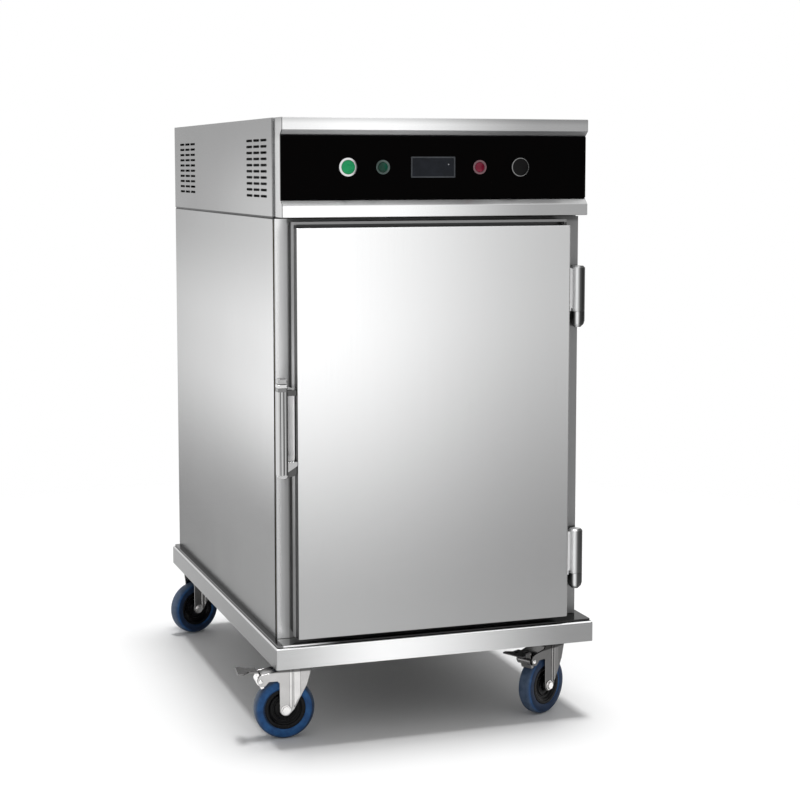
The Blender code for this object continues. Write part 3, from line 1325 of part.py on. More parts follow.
def build_housing(cart):
    add_piece("housing_cover", housing_cover(), "brushed_steel", cart)
    add_piece("housing_back", housing_back(), "brushed_steel", cart)
    add_piece("fascia", fascia(), "brushed_steel", cart)
    add_piece("control_panel", control_panel(), "black_gloss", cart)
    add_piece("display", display(), "black_gloss", cart)
    add_piece("control_board", control_board(), "board_green", cart)
    add_piece("power_inlet", power_inlet(), "black_nylon", cart)
    add_piece("pilot_lamp_green", pilot_lamp(GREEN_LAMP_X), "green_gloss", cart)
    add_piece("pilot_lamp_red", pilot_lamp(RED_LAMP_X), "red_gloss", cart)
    front = PANEL_FRONT - FIT - BUTTON_RING_HEIGHT - BUTTON_PROUD
    for name, x, radius, finish in (
            ("start_button", START_X, START_RADIUS, "green_gloss"),
            ("stop_button", STOP_X, STOP_RADIUS, "black_nylon")):
        add_piece(name + "_ring", button_ring(x, radius), "chrome", cart)
        slide = add_pivot(name + "_slide", cart, (x, front, CONTROL_Z))
        add_piece(name, button(x, radius), finish, slide)


def build_door(cart):
    axis = add_pivot("door_axis", cart, (HINGE_X, HINGE_Y, 0))
    pieces = {
        "door_outer_panel": (door_outer_panel(), "brushed_steel"),
        "door_inner_panel": (door_inner_panel(), "plain_steel"),
        "door_insulation": (door_insulation(), "mineral_wool"),
        "door_gasket": (door_gasket(), "black_rubber"),
        "door_handle": (door_handle(), "chrome"),
    }
    for name, bottom in HINGE_BOTTOM.items():
        pieces["hinge_door_" + name] = (hinge_door_side(bottom), "chrome")
        add_piece("hinge_frame_" + name, hinge_frame_side(bottom), "chrome", cart)
    for name, (mesh, finish) in pieces.items():
        add_piece(name, from_pivot(mesh, HINGE_X, HINGE_Y, 0), finish, axis)
    add_piece("door_strike", door_strike(), "plain_steel", cart)


def centre_on_footprint(cart):
    """Move the whole cart so that the middle of its footprint is on the origin."""
    bpy.context.view_layer.update()
    spots = []
    for item in bpy.context.scene.objects:
        if item.type == "MESH":
            spots += [item.matrix_world @ vertex.co for vertex in item.data.vertices]
    for axis in (0, 1):
        values = [spot[axis] for spot in spots]
        cart.location[axis] = -(min(values) + max(values)) / 2
    print("cart placed at", [round(value, 6) for value in cart.location])


def main():
    for item in list(bpy.data.objects):
        bpy.data.objects.remove(item, do_unlink=True)
    cart = add_pivot("cart", None, (0, 0, 0))
    build_casters(cart)
    build_cabinet(cart)
    build_housing(cart)
    build_door(cart)
    centre_on_footprint(cart)


main()
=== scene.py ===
"""Looks of the food warming cart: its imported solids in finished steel, zinc, rubber and glass."""
import json
import math

import bmesh
import bpy
import numpy as np
from mathutils import Matrix, Vector


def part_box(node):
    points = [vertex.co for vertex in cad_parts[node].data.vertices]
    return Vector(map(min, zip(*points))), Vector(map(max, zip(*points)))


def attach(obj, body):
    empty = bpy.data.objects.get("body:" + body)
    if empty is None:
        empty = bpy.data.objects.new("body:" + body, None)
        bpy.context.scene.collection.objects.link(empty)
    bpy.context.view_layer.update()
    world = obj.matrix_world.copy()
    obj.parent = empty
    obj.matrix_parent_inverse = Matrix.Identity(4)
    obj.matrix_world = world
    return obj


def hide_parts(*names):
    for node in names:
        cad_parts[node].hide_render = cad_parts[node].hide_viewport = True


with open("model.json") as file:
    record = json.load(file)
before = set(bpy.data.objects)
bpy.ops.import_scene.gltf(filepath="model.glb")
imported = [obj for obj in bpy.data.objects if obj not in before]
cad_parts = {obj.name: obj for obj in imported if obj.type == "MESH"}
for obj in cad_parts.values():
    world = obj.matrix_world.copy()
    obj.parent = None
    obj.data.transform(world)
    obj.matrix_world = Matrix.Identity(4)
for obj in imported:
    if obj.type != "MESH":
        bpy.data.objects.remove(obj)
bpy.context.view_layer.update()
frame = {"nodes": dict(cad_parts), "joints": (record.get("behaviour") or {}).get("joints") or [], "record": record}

RECORD = frame["record"]
PIVOT = {joint["name"]: np.array(joint["pos_m"]) for joint in frame["joints"] if "pos_m" in joint}
BODY = {node: body for body, nodes in RECORD["behaviour"]["bodies"].items() for node in nodes}

# Main lines of the cart, read from its solids
LEFT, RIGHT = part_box("side_panel_left")[0].x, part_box("side_panel_right")[1].x
FRONT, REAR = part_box("face_frame")[0].y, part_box("back_and_top_panel")[1].y
BODY_LOW, BODY_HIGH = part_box("side_panel_left")[0].z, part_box("side_panel_left")[1].z
DOOR_LOW, DOOR_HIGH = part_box("door_outer_panel")
COVER_LOW, COVER_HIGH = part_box("housing_cover")
FASCIA_LOW, FASCIA_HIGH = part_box("fascia")
BASE_LOW, BASE_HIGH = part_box("base_frame")


# Surfaces

def grid_faces(rows, columns, around_rows):
    """Quads between neighbouring points of a grid whose rows run round, as an array of corner numbers."""
    row = np.arange(rows if around_rows else rows - 1)
    row, column = np.meshgrid(row, np.arange(columns), indexing="ij")
    below, beside = (row + 1) % rows, (column + 1) % columns
    corners = (row * columns + column, row * columns + beside,
               below * columns + beside, below * columns + column)
    return np.stack(corners, axis=-1).reshape(-1, 4)


class Form:
    """Points, faces and marks of one piece, gathered from several surfaces."""

    def __init__(self):
        self.points, self.faces, self.marks, self.count = [], [], [], 0

    def add(self, points, faces, mark=None):
        points = np.asarray(points, float).reshape(-1, 3)
        self.points.append(points)
        self.faces += (np.asarray(faces) + self.count).tolist()
        self.marks.append(np.zeros(len(points)) if mark is None else np.asarray(mark, float).reshape(-1))
        self.count += len(points)

    def grid(self, points, around_rows=False, caps=True, mark=None):
        """Skin over rows of points that each run round; the first and last row may be capped."""
        rows, columns = points.shape[:2]
        start = self.count
        self.add(points, grid_faces(rows, columns, around_rows), mark)
        if caps and not around_rows:
            self.faces.append(list(range(start, start + columns)))
            self.faces.append(list(range(start + (rows - 1) * columns, start + rows * columns)))
        return self


def filleted(outline, radius, steps):
    """Outline with each corner replaced by a curve of second degree that touches both its sides."""
    corner = np.asarray(outline, float)
    before, after = np.roll(corner, 1, axis=0) - corner, np.roll(corner, -1, axis=0) - corner
    length_before = np.linalg.norm(before, axis=1, keepdims=True)
    length_after = np.linalg.norm(after, axis=1, keepdims=True)
    reach = np.broadcast_to(np.reshape(radius, (-1, 1)), (len(corner), 1))
    start = corner + before / length_before * np.minimum(reach, length_before * 0.48)
    end = corner + after / length_after * np.minimum(reach, length_after * 0.48)
    t = np.linspace(0, 1, steps + 1)[None, :, None]
    curve = (1 - t) ** 2 * start[:, None] + 2 * t * (1 - t) * corner[:, None] + t ** 2 * end[:, None]
    return curve.reshape(-1, 2)


def offset(outline, inset):
    """Outline moved in by a distance: each point goes along the mean of its two sides' normals."""
    before, after = outline - np.roll(outline, 1, axis=0), np.roll(outline, -1, axis=0) - outline
    along = before / np.linalg.norm(before, axis=1, keepdims=True)
    along = along + after / np.linalg.norm(after, axis=1, keepdims=True)
    along /= np.linalg.norm(along, axis=1, keepdims=True)
    a, b = outline.T
    turning = np.sign(np.sum(a * np.roll(b, -1) - np.roll(a, -1) * b))
    return outline + turning * inset * np.stack([-along[:, 1], along[:, 0]], axis=1)


def rectangle(low_a, low_b, high_a, high_b, radius=0.0, steps=4):
    outline = np.array([(low_a, low_b), (high_a, low_b), (high_a, high_b), (low_a, high_b)])
    return filleted(outline, radius, steps) if radius else outline


def at_level(outline, level):
    return np.column_stack([outline, np.full(len(outline), level)])


# Ways to set flat coordinates (a, b) and a level into the cart: rows are where a, b and level point
UPRIGHT = np.array([(1, 0, 0), (0, 1, 0), (0, 0, 1)], float)
FORWARD = np.array([(1, 0, 0), (0, 0, 1), (0, -1, 0)], float)
REARWARD = np.array([(-1, 0, 0), (0, 0, 1), (0, 1, 0)], float)
RIGHTWARD = np.array([(0, 1, 0), (0, 0, 1), (1, 0, 0)], float)
DOWNWARD = np.array([(1, 0, 0), (0, -1, 0), (0, 0, -1)], float)


def set_in(points, origin, axes):
    return np.asarray(origin, float) + np.asarray(points, float) @ axes


def slab(form, outline, low, high, edge, origin=(0, 0, 0), axes=UPRIGHT, steps=3, mark=None):
    """Outline raised from low to high with both rims rounded by a quarter circle."""
    angle = np.linspace(0, math.pi / 2, steps + 1)
    insets = np.concatenate([edge * (1 - np.sin(angle)), edge * (1 - np.cos(angle))])
    levels = np.concatenate([low + edge * (1 - np.cos(angle)), high - edge * (1 - np.sin(angle))])
    rows = [at_level(offset(outline, inset), level) for inset, level in zip(insets, levels)]
    return form.grid(set_in(np.array(rows), origin, axes), mark=mark)


def turn(form, profile, origin, axes, sides, ring=False, mark=None):
    """Profile of (radius, level) carried round the level axis."""
    radius, level = np.asarray(profile, float).T
    angle = np.linspace(0, 2 * math.pi, sides, endpoint=False)
    points = np.stack([radius[:, None] * np.cos(angle), radius[:, None] * np.sin(angle),
                       np.broadcast_to(level[:, None], (len(level), sides))], axis=-1)
    if mark is not None:
        mark = np.broadcast_to(np.asarray(mark, float)[:, None], (len(level), sides))
    return form.grid(set_in(points, origin, axes), around_rows=ring, mark=mark)


def rounded_profile(profile, radius):
    """Open profile with its inner corners rounded."""
    profile, steps = np.asarray(profile, float), 3
    curves = filleted(profile, radius, steps).reshape(len(profile), steps + 1, 2)
    return np.concatenate([profile[:1], curves[1:-1].reshape(-1, 2), profile[-1:]])


# Pieces

def added(name, data):
    """New object of a mesh, light or camera, linked into the scene."""
    item = bpy.data.objects.new(name, data)
    bpy.context.scene.collection.objects.link(item)
    return item


def mesh_of(name, form):
    mesh = bpy.data.meshes.new(name)
    mesh.from_pydata(np.concatenate(form.points).tolist(), [], form.faces)
    return mesh


def dress(item, finish, body, smooth=35):
    item.data.materials.clear()
    item.data.materials.append(finish)
    item.data.shade_smooth()
    item.data.set_sharp_from_angle(angle=math.radians(smooth))
    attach(item, body)


def piece(name, form, finish, body, replaced=(), smooth=35):
    """One object of a form's points and faces, with its faces turned outwards."""
    mesh = mesh_of(name, form)
    mark = mesh.attributes.new("mark", "FLOAT", "POINT")
    mark.data.foreach_set("value", np.concatenate(form.marks).astype(np.float32))
    model = bmesh.new()
    model.from_mesh(mesh)
    bmesh.ops.recalc_face_normals(model, faces=model.faces)
    model.to_mesh(mesh)
    model.free()
    item = added(name, mesh)
    dress(item, finish, body, smooth)
    item.modifiers.new("even_normals", "WEIGHTED_NORMAL").keep_sharp = True
    if replaced:
        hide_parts(*replaced)


def eased(node, finish, width):
    """The node's own solid with its flat faces joined and its edges rounded."""
    mesh = frame["nodes"][node].data.copy()
    for name in {"custom_normal", "sharp_face"}.intersection(mesh.attributes.keys()):
        mesh.attributes.remove(mesh.attributes[name])
    model = bmesh.new()
    model.from_mesh(mesh)
    bmesh.ops.remove_doubles(model, verts=model.verts, dist=0.00001)
    bmesh.ops.dissolve_limit(model, angle_limit=math.radians(0.4), verts=model.verts, edges=model.edges)
    model.to_mesh(mesh)
    model.free()
    item = added(node + "_eased", mesh)
    dress(item, finish, BODY[node])
    bevel = item.modifiers.new("edges", "BEVEL")
    bevel.width, bevel.segments = width, 2
    bevel.limit_method, bevel.angle_limit = "ANGLE", math.radians(28)
    bevel.miter_outer = "MITER_ARC"
    item.modifiers.new("even_normals", "WEIGHTED_NORMAL").keep_sharp = True
    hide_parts(node)


# Shaders

class Signal:
    """A socket of a shader; arithmetic on it adds Math nodes."""

    def __init__(self, shader, socket):
        self.shader, self.socket = shader, socket

    def __add__(self, other):
        return self.shader.math("ADD", self, other)

    def __sub__(self, other):
        return self.shader.math("SUBTRACT", self, other)

    def __rsub__(self, other):
        return self.shader.math("SUBTRACT", other, self)

    def __mul__(self, other):
        return self.shader.math("MULTIPLY", self, other)

    __radd__, __rmul__ = __add__, __mul__


class Shader:
    """Nodes of one material or world."""

    def __init__(self, owner):
        owner.use_nodes = True
        self.owner, self.tree = owner, owner.node_tree
        self.kept = {}

    def node(self, kind, settings=None, sockets=None, output=0):
        """Adds a node of a type: its settings first, then values or links for its sockets."""
        made = self.tree.nodes.new("ShaderNode" + kind)
        for key, value in (settings or {}).items():
            setattr(made, key, value)
        for key, value in (sockets or {}).items():
            self.feed(value, made.inputs[key])
        return Signal(self, made.outputs[output])

    def feed(self, value, socket):
        if isinstance(value, Signal):
            self.tree.links.new(value.socket, socket)
        else:
            socket.default_value = value

    def math(self, operation, *values, **settings):
        return self.node("Math", {"operation": operation, **settings}, dict(enumerate(values)))

    def place(self, output="Object"):
        if output not in self.kept:
            self.kept[output] = self.node("TexCoord", output=output)
        return self.kept[output]

    def along(self, axis, output="Object"):
        """Coordinate of the point, or of its normal, along one axis."""
        if (axis, output) not in self.kept:
            self.kept[axis, output] = self.node("SeparateXYZ", {}, {0: self.place(output)}, axis.upper())
        return self.kept[axis, output]

    def rise(self, value, low, high, start=0.0, end=1.0):
        """Smooth step between two values of a signal."""
        step = self.node("MapRange", {"interpolation_type": "SMOOTHSTEP"},
                         {"Value": value, "From Min": low, "From Max": high, "To Min": 0.0, "To Max": 1.0})
        if (start, end) == (0.0, 1.0):
            return step
        return start + (end - start) * step

    def noise(self, frequency, detail, roughness):
        """Noise between 0 and 1 with its frequency per metre along each axis."""
        point = self.node("Mapping", {}, {"Vector": self.place(), "Scale": frequency})
        return self.node("TexNoise", {},
                         {"Vector": point, "Scale": 1.0, "Detail": detail, "Roughness": roughness})

    def between(self, dark, light, factor):
        """Colour between two colours."""
        return self.node("Mix", {"data_type": "RGBA"}, {0: factor, 6: dark, 7: light}, output=2)

    def swell(self, value, climb, fall, levels):
        """Level that goes smoothly from the first of three levels to the second, and on to the third."""
        first, second, third = levels
        climbed = first + (second - first) * self.rise(value, *climb)
        return climbed + (third - second) * self.rise(value, *fall)

    def hollow(self, distance):
        """0 in a narrow gap or crease and 1 in the open, by what lies within a distance; the finishes darken by it
        as painted shade.
        """
        return self.node("AmbientOcclusion", {"samples": 6}, {"Distance": distance}, output="AO")

    def bump(self, height, depth, strength):
        return self.node("Bump", {}, {"Height": height, "Distance": depth, "Strength": strength})

    def principled(self, **sockets):
        """Feeds the surface shader, with spaces in socket names written as underscores."""
        surface = self.tree.nodes["Principled BSDF"]
        for key, value in sockets.items():
            self.feed(value, surface.inputs[key.replace("_", " ")])
        return self.owner


def new_shader(name, slot):
    """Shader of a new material that goes with one of the record's slots."""
    material = bpy.data.materials.new(name)
    material["slot"] = slot
    return Shader(material)


def colour(red, green, blue):
    return (red, green, blue, 1.0)


BLACK = colour(0, 0, 0)


def grained(grain, slow, fast):
    """Frequencies per metre of a grain: slow along its own axis and fast across it."""
    return tuple(slow if axis == grain else fast for axis in "xyz")


def steel(name, tone, grain="z", rough=0.24, wear=1.0, slot="brushed_steel", crease=0.010):
    """Satin stainless steel.

    Tone gives how bright the sheet is, with painted reflection and shade, as a number or as a function of the
    shader.
    Crease is the reach of the painted shade in gaps. The tint holds down the mirror seen at a flat angle.
    """
    s = new_shader(name, slot)
    fine = s.noise(grained(grain, 14, 2300), 3.0, 0.6)
    streak = s.noise(grained(grain, 2.2, 260), 2.0, 0.5)
    cloud = s.noise((5, 5, 4), 3.0, 0.5)
    brightness_and_painted_light = tone(s) if callable(tone) else tone
    shade = 1.0 + (fine - 0.5) * 0.08 * wear + (streak - 0.5) * 0.05 * wear + (cloud - 0.5) * 0.05 * wear
    # Painted shade in gaps and creases
    gap = 0.12 + 0.88 * s.rise(s.hollow(crease), 0.05, 0.75)
    bright = s.math("MULTIPLY", brightness_and_painted_light * gap, shade, use_clamp=True)
    blur = rough(s) if callable(rough) else rough
    roughness = blur + (fine - 0.5) * 0.10 + (cloud - 0.5) * 0.10 * wear
    return s.principled(Base_Color=s.between(BLACK, colour(0.995, 0.998, 1.0), bright), Metallic=1.0,
                        Roughness=roughness, Specular_Tint=colour(0.70, 0.70, 0.70),
                        Normal=s.bump(fine + streak * 0.6, 0.00005, 0.25))


def plated(name, slot, bright, rough, cloudy, crease=0.012, tint=(1.0, 1.0, 1.0)):
    """Plating with cloudy patches and a fine orange peel, with painted shade in its creases and where a piece is
    marked.
    """
    s = new_shader(name, slot)
    cloud = s.noise((42, 42, 42), 3.0, 0.6)
    peel = s.noise((900, 900, 900), 2.0, 0.5)
    marked = s.node("Attribute", {"attribute_name": "mark"}, output="Fac")
    # Painted shade in gaps and creases
    gap = 0.10 + 0.90 * s.rise(s.hollow(crease), 0.1, 0.8)
    tone = (bright(s) if callable(bright) else bright) * (1.0 - marked) * gap
    shade = s.math("MULTIPLY", tone, 1.0 + (cloud - 0.5) * cloudy, use_clamp=True)
    return s.principled(Base_Color=s.between(BLACK, colour(*tint), shade), Metallic=1.0,
                        Roughness=rough + (cloud - 0.5) * 0.16, Normal=s.bump(peel, 0.00004, 0.3))


def zinc_tone(s):
    """Painted shade: darker towards the right, on faces that turn to the right, and along the top of the fork
    under the rail.
    """
    right = s.rise(s.along("x"), -0.1, 0.2)
    turned = s.rise(s.along("x", "Normal"), 0.05, 0.33)
    under = s.rise(s.along("z"), 0.1385, 0.1415) * s.rise(s.along("z"), 0.1520, 0.1500)
    return (1.0 - 0.55 * right) * (1.0 - 0.45 * turned) * (1.0 - 0.80 * under)


def moulded(name, slot, dark, light, rough, specular=0.5, peel_frequency=1500, peel_depth=0.00005):
    """Moulded plastic or rubber: slow colour variation and a fine grain."""
    s = new_shader(name, slot)
    cloud = s.noise((30, 30, 30), 4.0, 0.6)
    peel = s.noise((peel_frequency,) * 3, 2.0, 0.5)
    return s.principled(Base_Color=s.between(colour(*dark), colour(*light), s.rise(cloud, 0.3, 0.7)),
                        Roughness=rough + (cloud - 0.5) * 0.14, Specular_IOR_Level=specular,
                        Normal=s.bump(peel, peel_depth, 0.5))


# Tones: painted reflection and shade. Each is a smooth gradient between two or three levels of brightness, chosen
# to look like the photo

def shares(low, high, *parts):
    """Places at parts of the way from low to high."""
    return [low + (high - low) * part for part in parts]


POST_WIDTH = 0.0286
VIEW_RIGHT = 0.9465, -0.3228    # x and y of the level direction that points to the right in the photo
KNUCKLE_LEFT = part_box("hinge_door_upper")[1].x - 0.030


def door_tone(s):
    """Painted reflection: bright at the upper left, grey along the foot and on the right; painted shade on the
    left fold.
    """
    left = s.rise(s.along("z"), *shares(DOOR_LOW.z, DOOR_HIGH.z, 0.05, 0.80), 0.42, 1.0)
    right = s.rise(s.along("z"), *shares(DOOR_LOW.z, DOOR_HIGH.z, 0.10, 0.85), 0.31, 0.60)
    across = s.rise(s.along("x"), DOOR_LOW.x, DOOR_HIGH.x)
    edge = s.rise(s.along("x", "Normal"), -0.5, -0.8)
    return (left + (right - left) * across) * (1.0 - 0.92 * edge)


def pan_tone(s):
    """Painted reflection: light rim, brightest beside the pull; painted shade in a line where the skin stands
    before it.
    """
    climb, fall = shares(DOOR_LOW.z, DOOR_HIGH.z, 0.20, 0.50), shares(DOOR_LOW.z, DOOR_HIGH.z, 0.60, 0.85)
    side = s.swell(s.along("z"), climb, fall, (0.45, 0.85, 0.45))
    front = s.rise(s.along("y", "Normal"), -0.6, -0.9)
    low = s.rise(s.along("z"), DOOR_HIGH.z + 0.0065, DOOR_HIGH.z + 0.0050)
    return side + (0.25 - 0.19 * low - side) * front


def side_tone(s):
    """Painted reflection: brightest in the upper middle near the front, dark along the foot; painted shade in a
    line along the top seam.
    """
    fall = shares(BODY_LOW, BODY_HIGH, 0.70, 1.0)
    rear = s.swell(s.along("z"), shares(BODY_LOW, BODY_HIGH, 0.10, 0.60), fall, (0.13, 0.62, 0.37))
    front = s.swell(s.along("z"), shares(BODY_LOW, BODY_HIGH, 0.25, 0.60), fall, (0.30, 0.94, 0.62))
    forward = s.node("MapRange", {}, {"Value": s.along("y"), "From Min": REAR, "From Max": FRONT})
    seam = s.rise(s.along("z"), BODY_HIGH - 0.0018, BODY_HIGH - 0.0008)
    return (rear + (front - rear) * forward) * (1.0 - 0.85 * seam)


def cover_tone(s):
    """Painted reflection: dark, a little lighter towards the front and its foot; painted shade in a line along the
    lower seam.
    """
    forward = s.rise(s.along("y"), REAR - 0.2, FRONT)
    low = s.rise(s.along("z"), COVER_HIGH.z, COVER_LOW.z)
    seam = s.rise(s.along("z"), COVER_LOW.z + 0.0018, COVER_LOW.z + 0.0008)
    return (0.27 + 0.05 * forward + 0.06 * low + 0.20 * forward * low) * (1.0 - 0.85 * seam)


def bar_tone(s):
    """Painted reflection: white on the left and grey on the right. Bevels and folds get painted shade, except the
    lower bevel's right, which gets a painted highlight.
    """
    face = s.rise(s.along("x"), *shares(LEFT, RIGHT, 0.30, 0.85), 1.0, 0.40)
    upper = s.rise(s.along("z"), FASCIA_HIGH.z - 0.05, FASCIA_HIGH.z - 0.03)
    rise = s.rise(s.along("z"), FASCIA_HIGH.z - 0.014, FASCIA_HIGH.z)
    left = s.rise(s.along("x"), LEFT + 0.16, LEFT)
    face = face * (1.0 - 0.30 * rise) * (1.0 - 0.16 * left * upper)
    low_bevel = s.rise(s.along("z", "Normal"), 0.2, 0.5) * (1.0 - upper)
    high_bevel = s.rise(s.along("z", "Normal"), -0.2, -0.5)
    side = s.rise(s.along("x", "Normal"), -0.2, -0.6)
    fold = 1.0 - s.rise(s.along("x", "Normal"), -0.97, -0.99)
    fold = fold * s.rise(s.along("x"), FASCIA_LOW.x + 0.0026, FASCIA_LOW.x + 0.0016)
    lighter = s.rise(s.along("x"), LEFT + 0.37, LEFT + 0.50)
    bevels = (1.0 - low_bevel * (0.48 - 0.68 * lighter)) * (1.0 - high_bevel * 0.38)
    return face * bevels * (1.0 - side * 0.26) * (1.0 - fold * 0.6)


def bar_blur(s):
    """The bevel over the panel is rougher, so that it mirrors more than the black panel."""
    return 0.24 + 0.34 * s.rise(s.along("z", "Normal"), -0.2, -0.5)


def post_tone(s):
    """Painted reflection and shade: a dark groove beside the side panel, then bright and fading towards the door
    and darker lower down; the right post is grey, with painted shadow above the door.
    """
    climb, fall = shares(LEFT, LEFT + POST_WIDTH, 0.05, 0.12), shares(LEFT, LEFT + POST_WIDTH, 0.90, 1.0)
    left = s.swell(s.along("x"), climb, fall, (0.40, 0.83, 0.45))
    right = s.rise(s.along("x"), LEFT + POST_WIDTH, RIGHT - POST_WIDTH)
    above = s.rise(s.along("z"), DOOR_HIGH.z + 0.004, DOOR_HIGH.z + 0.012)
    middle = s.rise(s.along("x"), LEFT + POST_WIDTH * 0.8, LEFT + POST_WIDTH)
    lower = s.rise(s.along("z"), DOOR_LOW.z + 0.60, DOOR_LOW.z + 0.25)
    left = left * (1.0 - 0.32 * lower)
    return (left + (0.27 - left) * right) * (1.0 - 0.45 * above * middle)


def post_blur(s):
    """Rougher towards the door, whose dark gap it mirrors."""
    return 0.24 + 0.34 * s.rise(s.along("x"), LEFT + POST_WIDTH * 0.25, LEFT + POST_WIDTH * 0.85)


def rail_tone(s):
    """Painted reflection, brightest left of the middle, with a painted highlight along the folded edge and painted
    shade on the top.
    """
    climb, fall = shares(BASE_LOW.x, BASE_HIGH.x, 0.0, 0.33), shares(BASE_LOW.x, BASE_HIGH.x, 0.33, 0.95)
    front = s.swell(s.along("x"), climb, fall, (0.50, 0.92, 0.28))
    side = s.rise(s.math("ABSOLUTE", s.along("x", "Normal")), 0.4, 0.7)
    rise = s.along("z", "Normal")
    fold = s.rise(rise, 0.30, 0.45) * s.rise(rise, 0.95, 0.85)
    top = s.rise(rise, 0.97, 0.995)
    tone = front * (1.0 - side) + (0.29 + 0.06 * s.rise(s.along("y"), FRONT, REAR)) * side
    return (tone + (0.92 - 0.30 * side - tone) * fold) * (1.0 - top) + 0.10 * top


def deck_tone(s):
    """Painted reflection and shade: light in the front left corner, dark beside the side panel and nearly black
    along the door.
    """
    beside = s.rise(s.along("x"), LEFT + 0.002, LEFT - 0.002)
    tone = 0.85 - 0.82 * s.rise(s.along("x"), LEFT + 0.03, LEFT + 0.12)
    return tone * (1.0 - 0.80 * beside)


def hidden_top_tone(s):
    """Painted shade: dark on top, where only a gap under the housing shows it."""
    return 0.58 - 0.55 * s.rise(s.along("z"), BODY_HIGH - 0.004, BODY_HIGH - 0.002)


def hinge_shade(climb, fall, levels, web_level):
    """Painted highlight and shade of a knuckle by the way that it faces: bright towards the front left and dark on
    the right.

    The web between knuckle and door has a level of its own.
    """
    def tone(s):
        across = s.along("x", "Normal") * VIEW_RIGHT[0] + s.along("y", "Normal") * VIEW_RIGHT[1]
        level = s.swell(across, climb, fall, levels)
        web = s.rise(s.along("x"), KNUCKLE_LEFT + 0.0012, KNUCKLE_LEFT)
        return level + (web_level - level) * web
    return tone


STEEL_DOOR = steel("satin_steel_door", door_tone, wear=0.6)
STEEL_SIDE = steel("satin_steel_side", side_tone, crease=0.004)
STEEL_COVER = steel("satin_steel_cover", cover_tone, crease=0.003)
STEEL_FASCIA = steel("satin_steel_fascia", bar_tone, "x", bar_blur, 0.5, crease=0.003)
STEEL_POST = steel("satin_steel_post", post_tone, rough=post_blur, crease=0.003)
STEEL_RAIL = steel("satin_steel_rail", rail_tone, "x")
STEEL_DECK = steel("satin_steel_deck", deck_tone, "x", 0.18)
STEEL_PLAIN = steel("satin_steel_plain", 0.58)
STEEL_BACK = steel("satin_steel_back", hidden_top_tone)
CAST = {"rough": 0.46, "wear": 0.4, "slot": "chrome", "crease": 0.001}
HINGE_TONE = hinge_shade((-1.0, -0.35), (-0.35, 0.35), (0.60, 1.0, 0.09), 0.75)
HINGE_FOOT_TONE = hinge_shade((-0.6, -0.15), (-0.15, 0.30), (0.07, 0.90, 0.07), 0.07)
STEEL_HINGE = steel("cast_steel_hinge", HINGE_TONE, **CAST)
STEEL_HINGE_FOOT = steel("cast_steel_hinge_foot", HINGE_FOOT_TONE, **CAST)
STEEL_INNER = steel("bright_steel_inner", 0.60, "y", 0.30, slot="plain_steel")
STEEL_PAN = steel("bright_steel_pan", pan_tone, "x", 0.30, slot="plain_steel", crease=0.002)
ZINC_TINT = (1.0, 0.985, 0.975)
ZINC = plated("zinc_plating", "zinc_plate", zinc_tone, 0.22, 0.35, tint=ZINC_TINT)
ZINC_BOLT = plated("zinc_bolt", "zinc_plate", 0.92, 0.22, 0.2, 0.005, ZINC_TINT)
CHROME = plated("polished_cast_metal", "chrome", 0.66, 0.12, 0.12, 0.006)
DARK_CHROME = plated("dark_polished_ring", "chrome", 0.20, 0.22, 0.12, 0.003)
WHITE_PAD = plated("polished_pad", "chrome", 1.0, 0.34, 0.05, 0.001)
BLACK_NYLON = moulded("black_nylon", "black_nylon", (0.0008, 0.0008, 0.0012), (0.0026, 0.0026, 0.0036),
                      0.28, 0.16)
BLACK_RUBBER = moulded("black_rubber", "black_rubber", (0.008, 0.008, 0.008), (0.016, 0.016, 0.016), 0.6, 0.3)
BLACK_GLOSS = moulded("black_panel", "black_gloss", (0.0006, 0.0004, 0.0004), (0.0010, 0.0006, 0.0006),
                      0.30, 0.02)
BLACK_CAP = moulded("black_cap", "black_nylon", (0.003, 0.003, 0.003), (0.007, 0.007, 0.007), 0.40, 0.10)
WINDOW = moulded("display_window", "black_gloss", (0.010, 0.0125, 0.017), (0.018, 0.021, 0.029), 0.20, 0.12)
BEZEL = moulded("display_bezel", "black_gloss", (0.060, 0.066, 0.074), (0.090, 0.098, 0.110), 0.40, 0.25)
LAMP_RING = moulded("lamp_ring", "green_gloss", (0.09, 0.13, 0.12), (0.17, 0.22, 0.20), 0.40, 0.30)
WARM_RING = moulded("warm_lamp_ring", "red_gloss", (0.24, 0.12, 0.145), (0.33, 0.19, 0.21), 0.40, 0.30)
GREEN = moulded("green_lens", "green_gloss", (0.006, 0.39, 0.13), (0.012, 0.50, 0.18), 0.28, 0.3)
DIM_GREEN = moulded("dim_green_lens", "green_gloss", (0.002, 0.040, 0.022), (0.008, 0.120, 0.070), 0.18, 0.22)
RED = moulded("red_lens", "red_gloss", (0.20, 0.002, 0.023), (0.31, 0.005, 0.045), 0.18, 0.25)
BOARD = moulded("circuit_board", "board_green", (0.01, 0.09, 0.03), (0.03, 0.15, 0.06), 0.5)
WOOL = moulded("mineral_wool", "mineral_wool", (0.36, 0.30, 0.16), (0.62, 0.53, 0.33),
               0.95, 0.2, 240, 0.002)
TUBE = plated("oxidised_heater_tube", "dark_tube", 0.20, 0.42, 0.8, tint=(1.0, 0.86, 0.74))


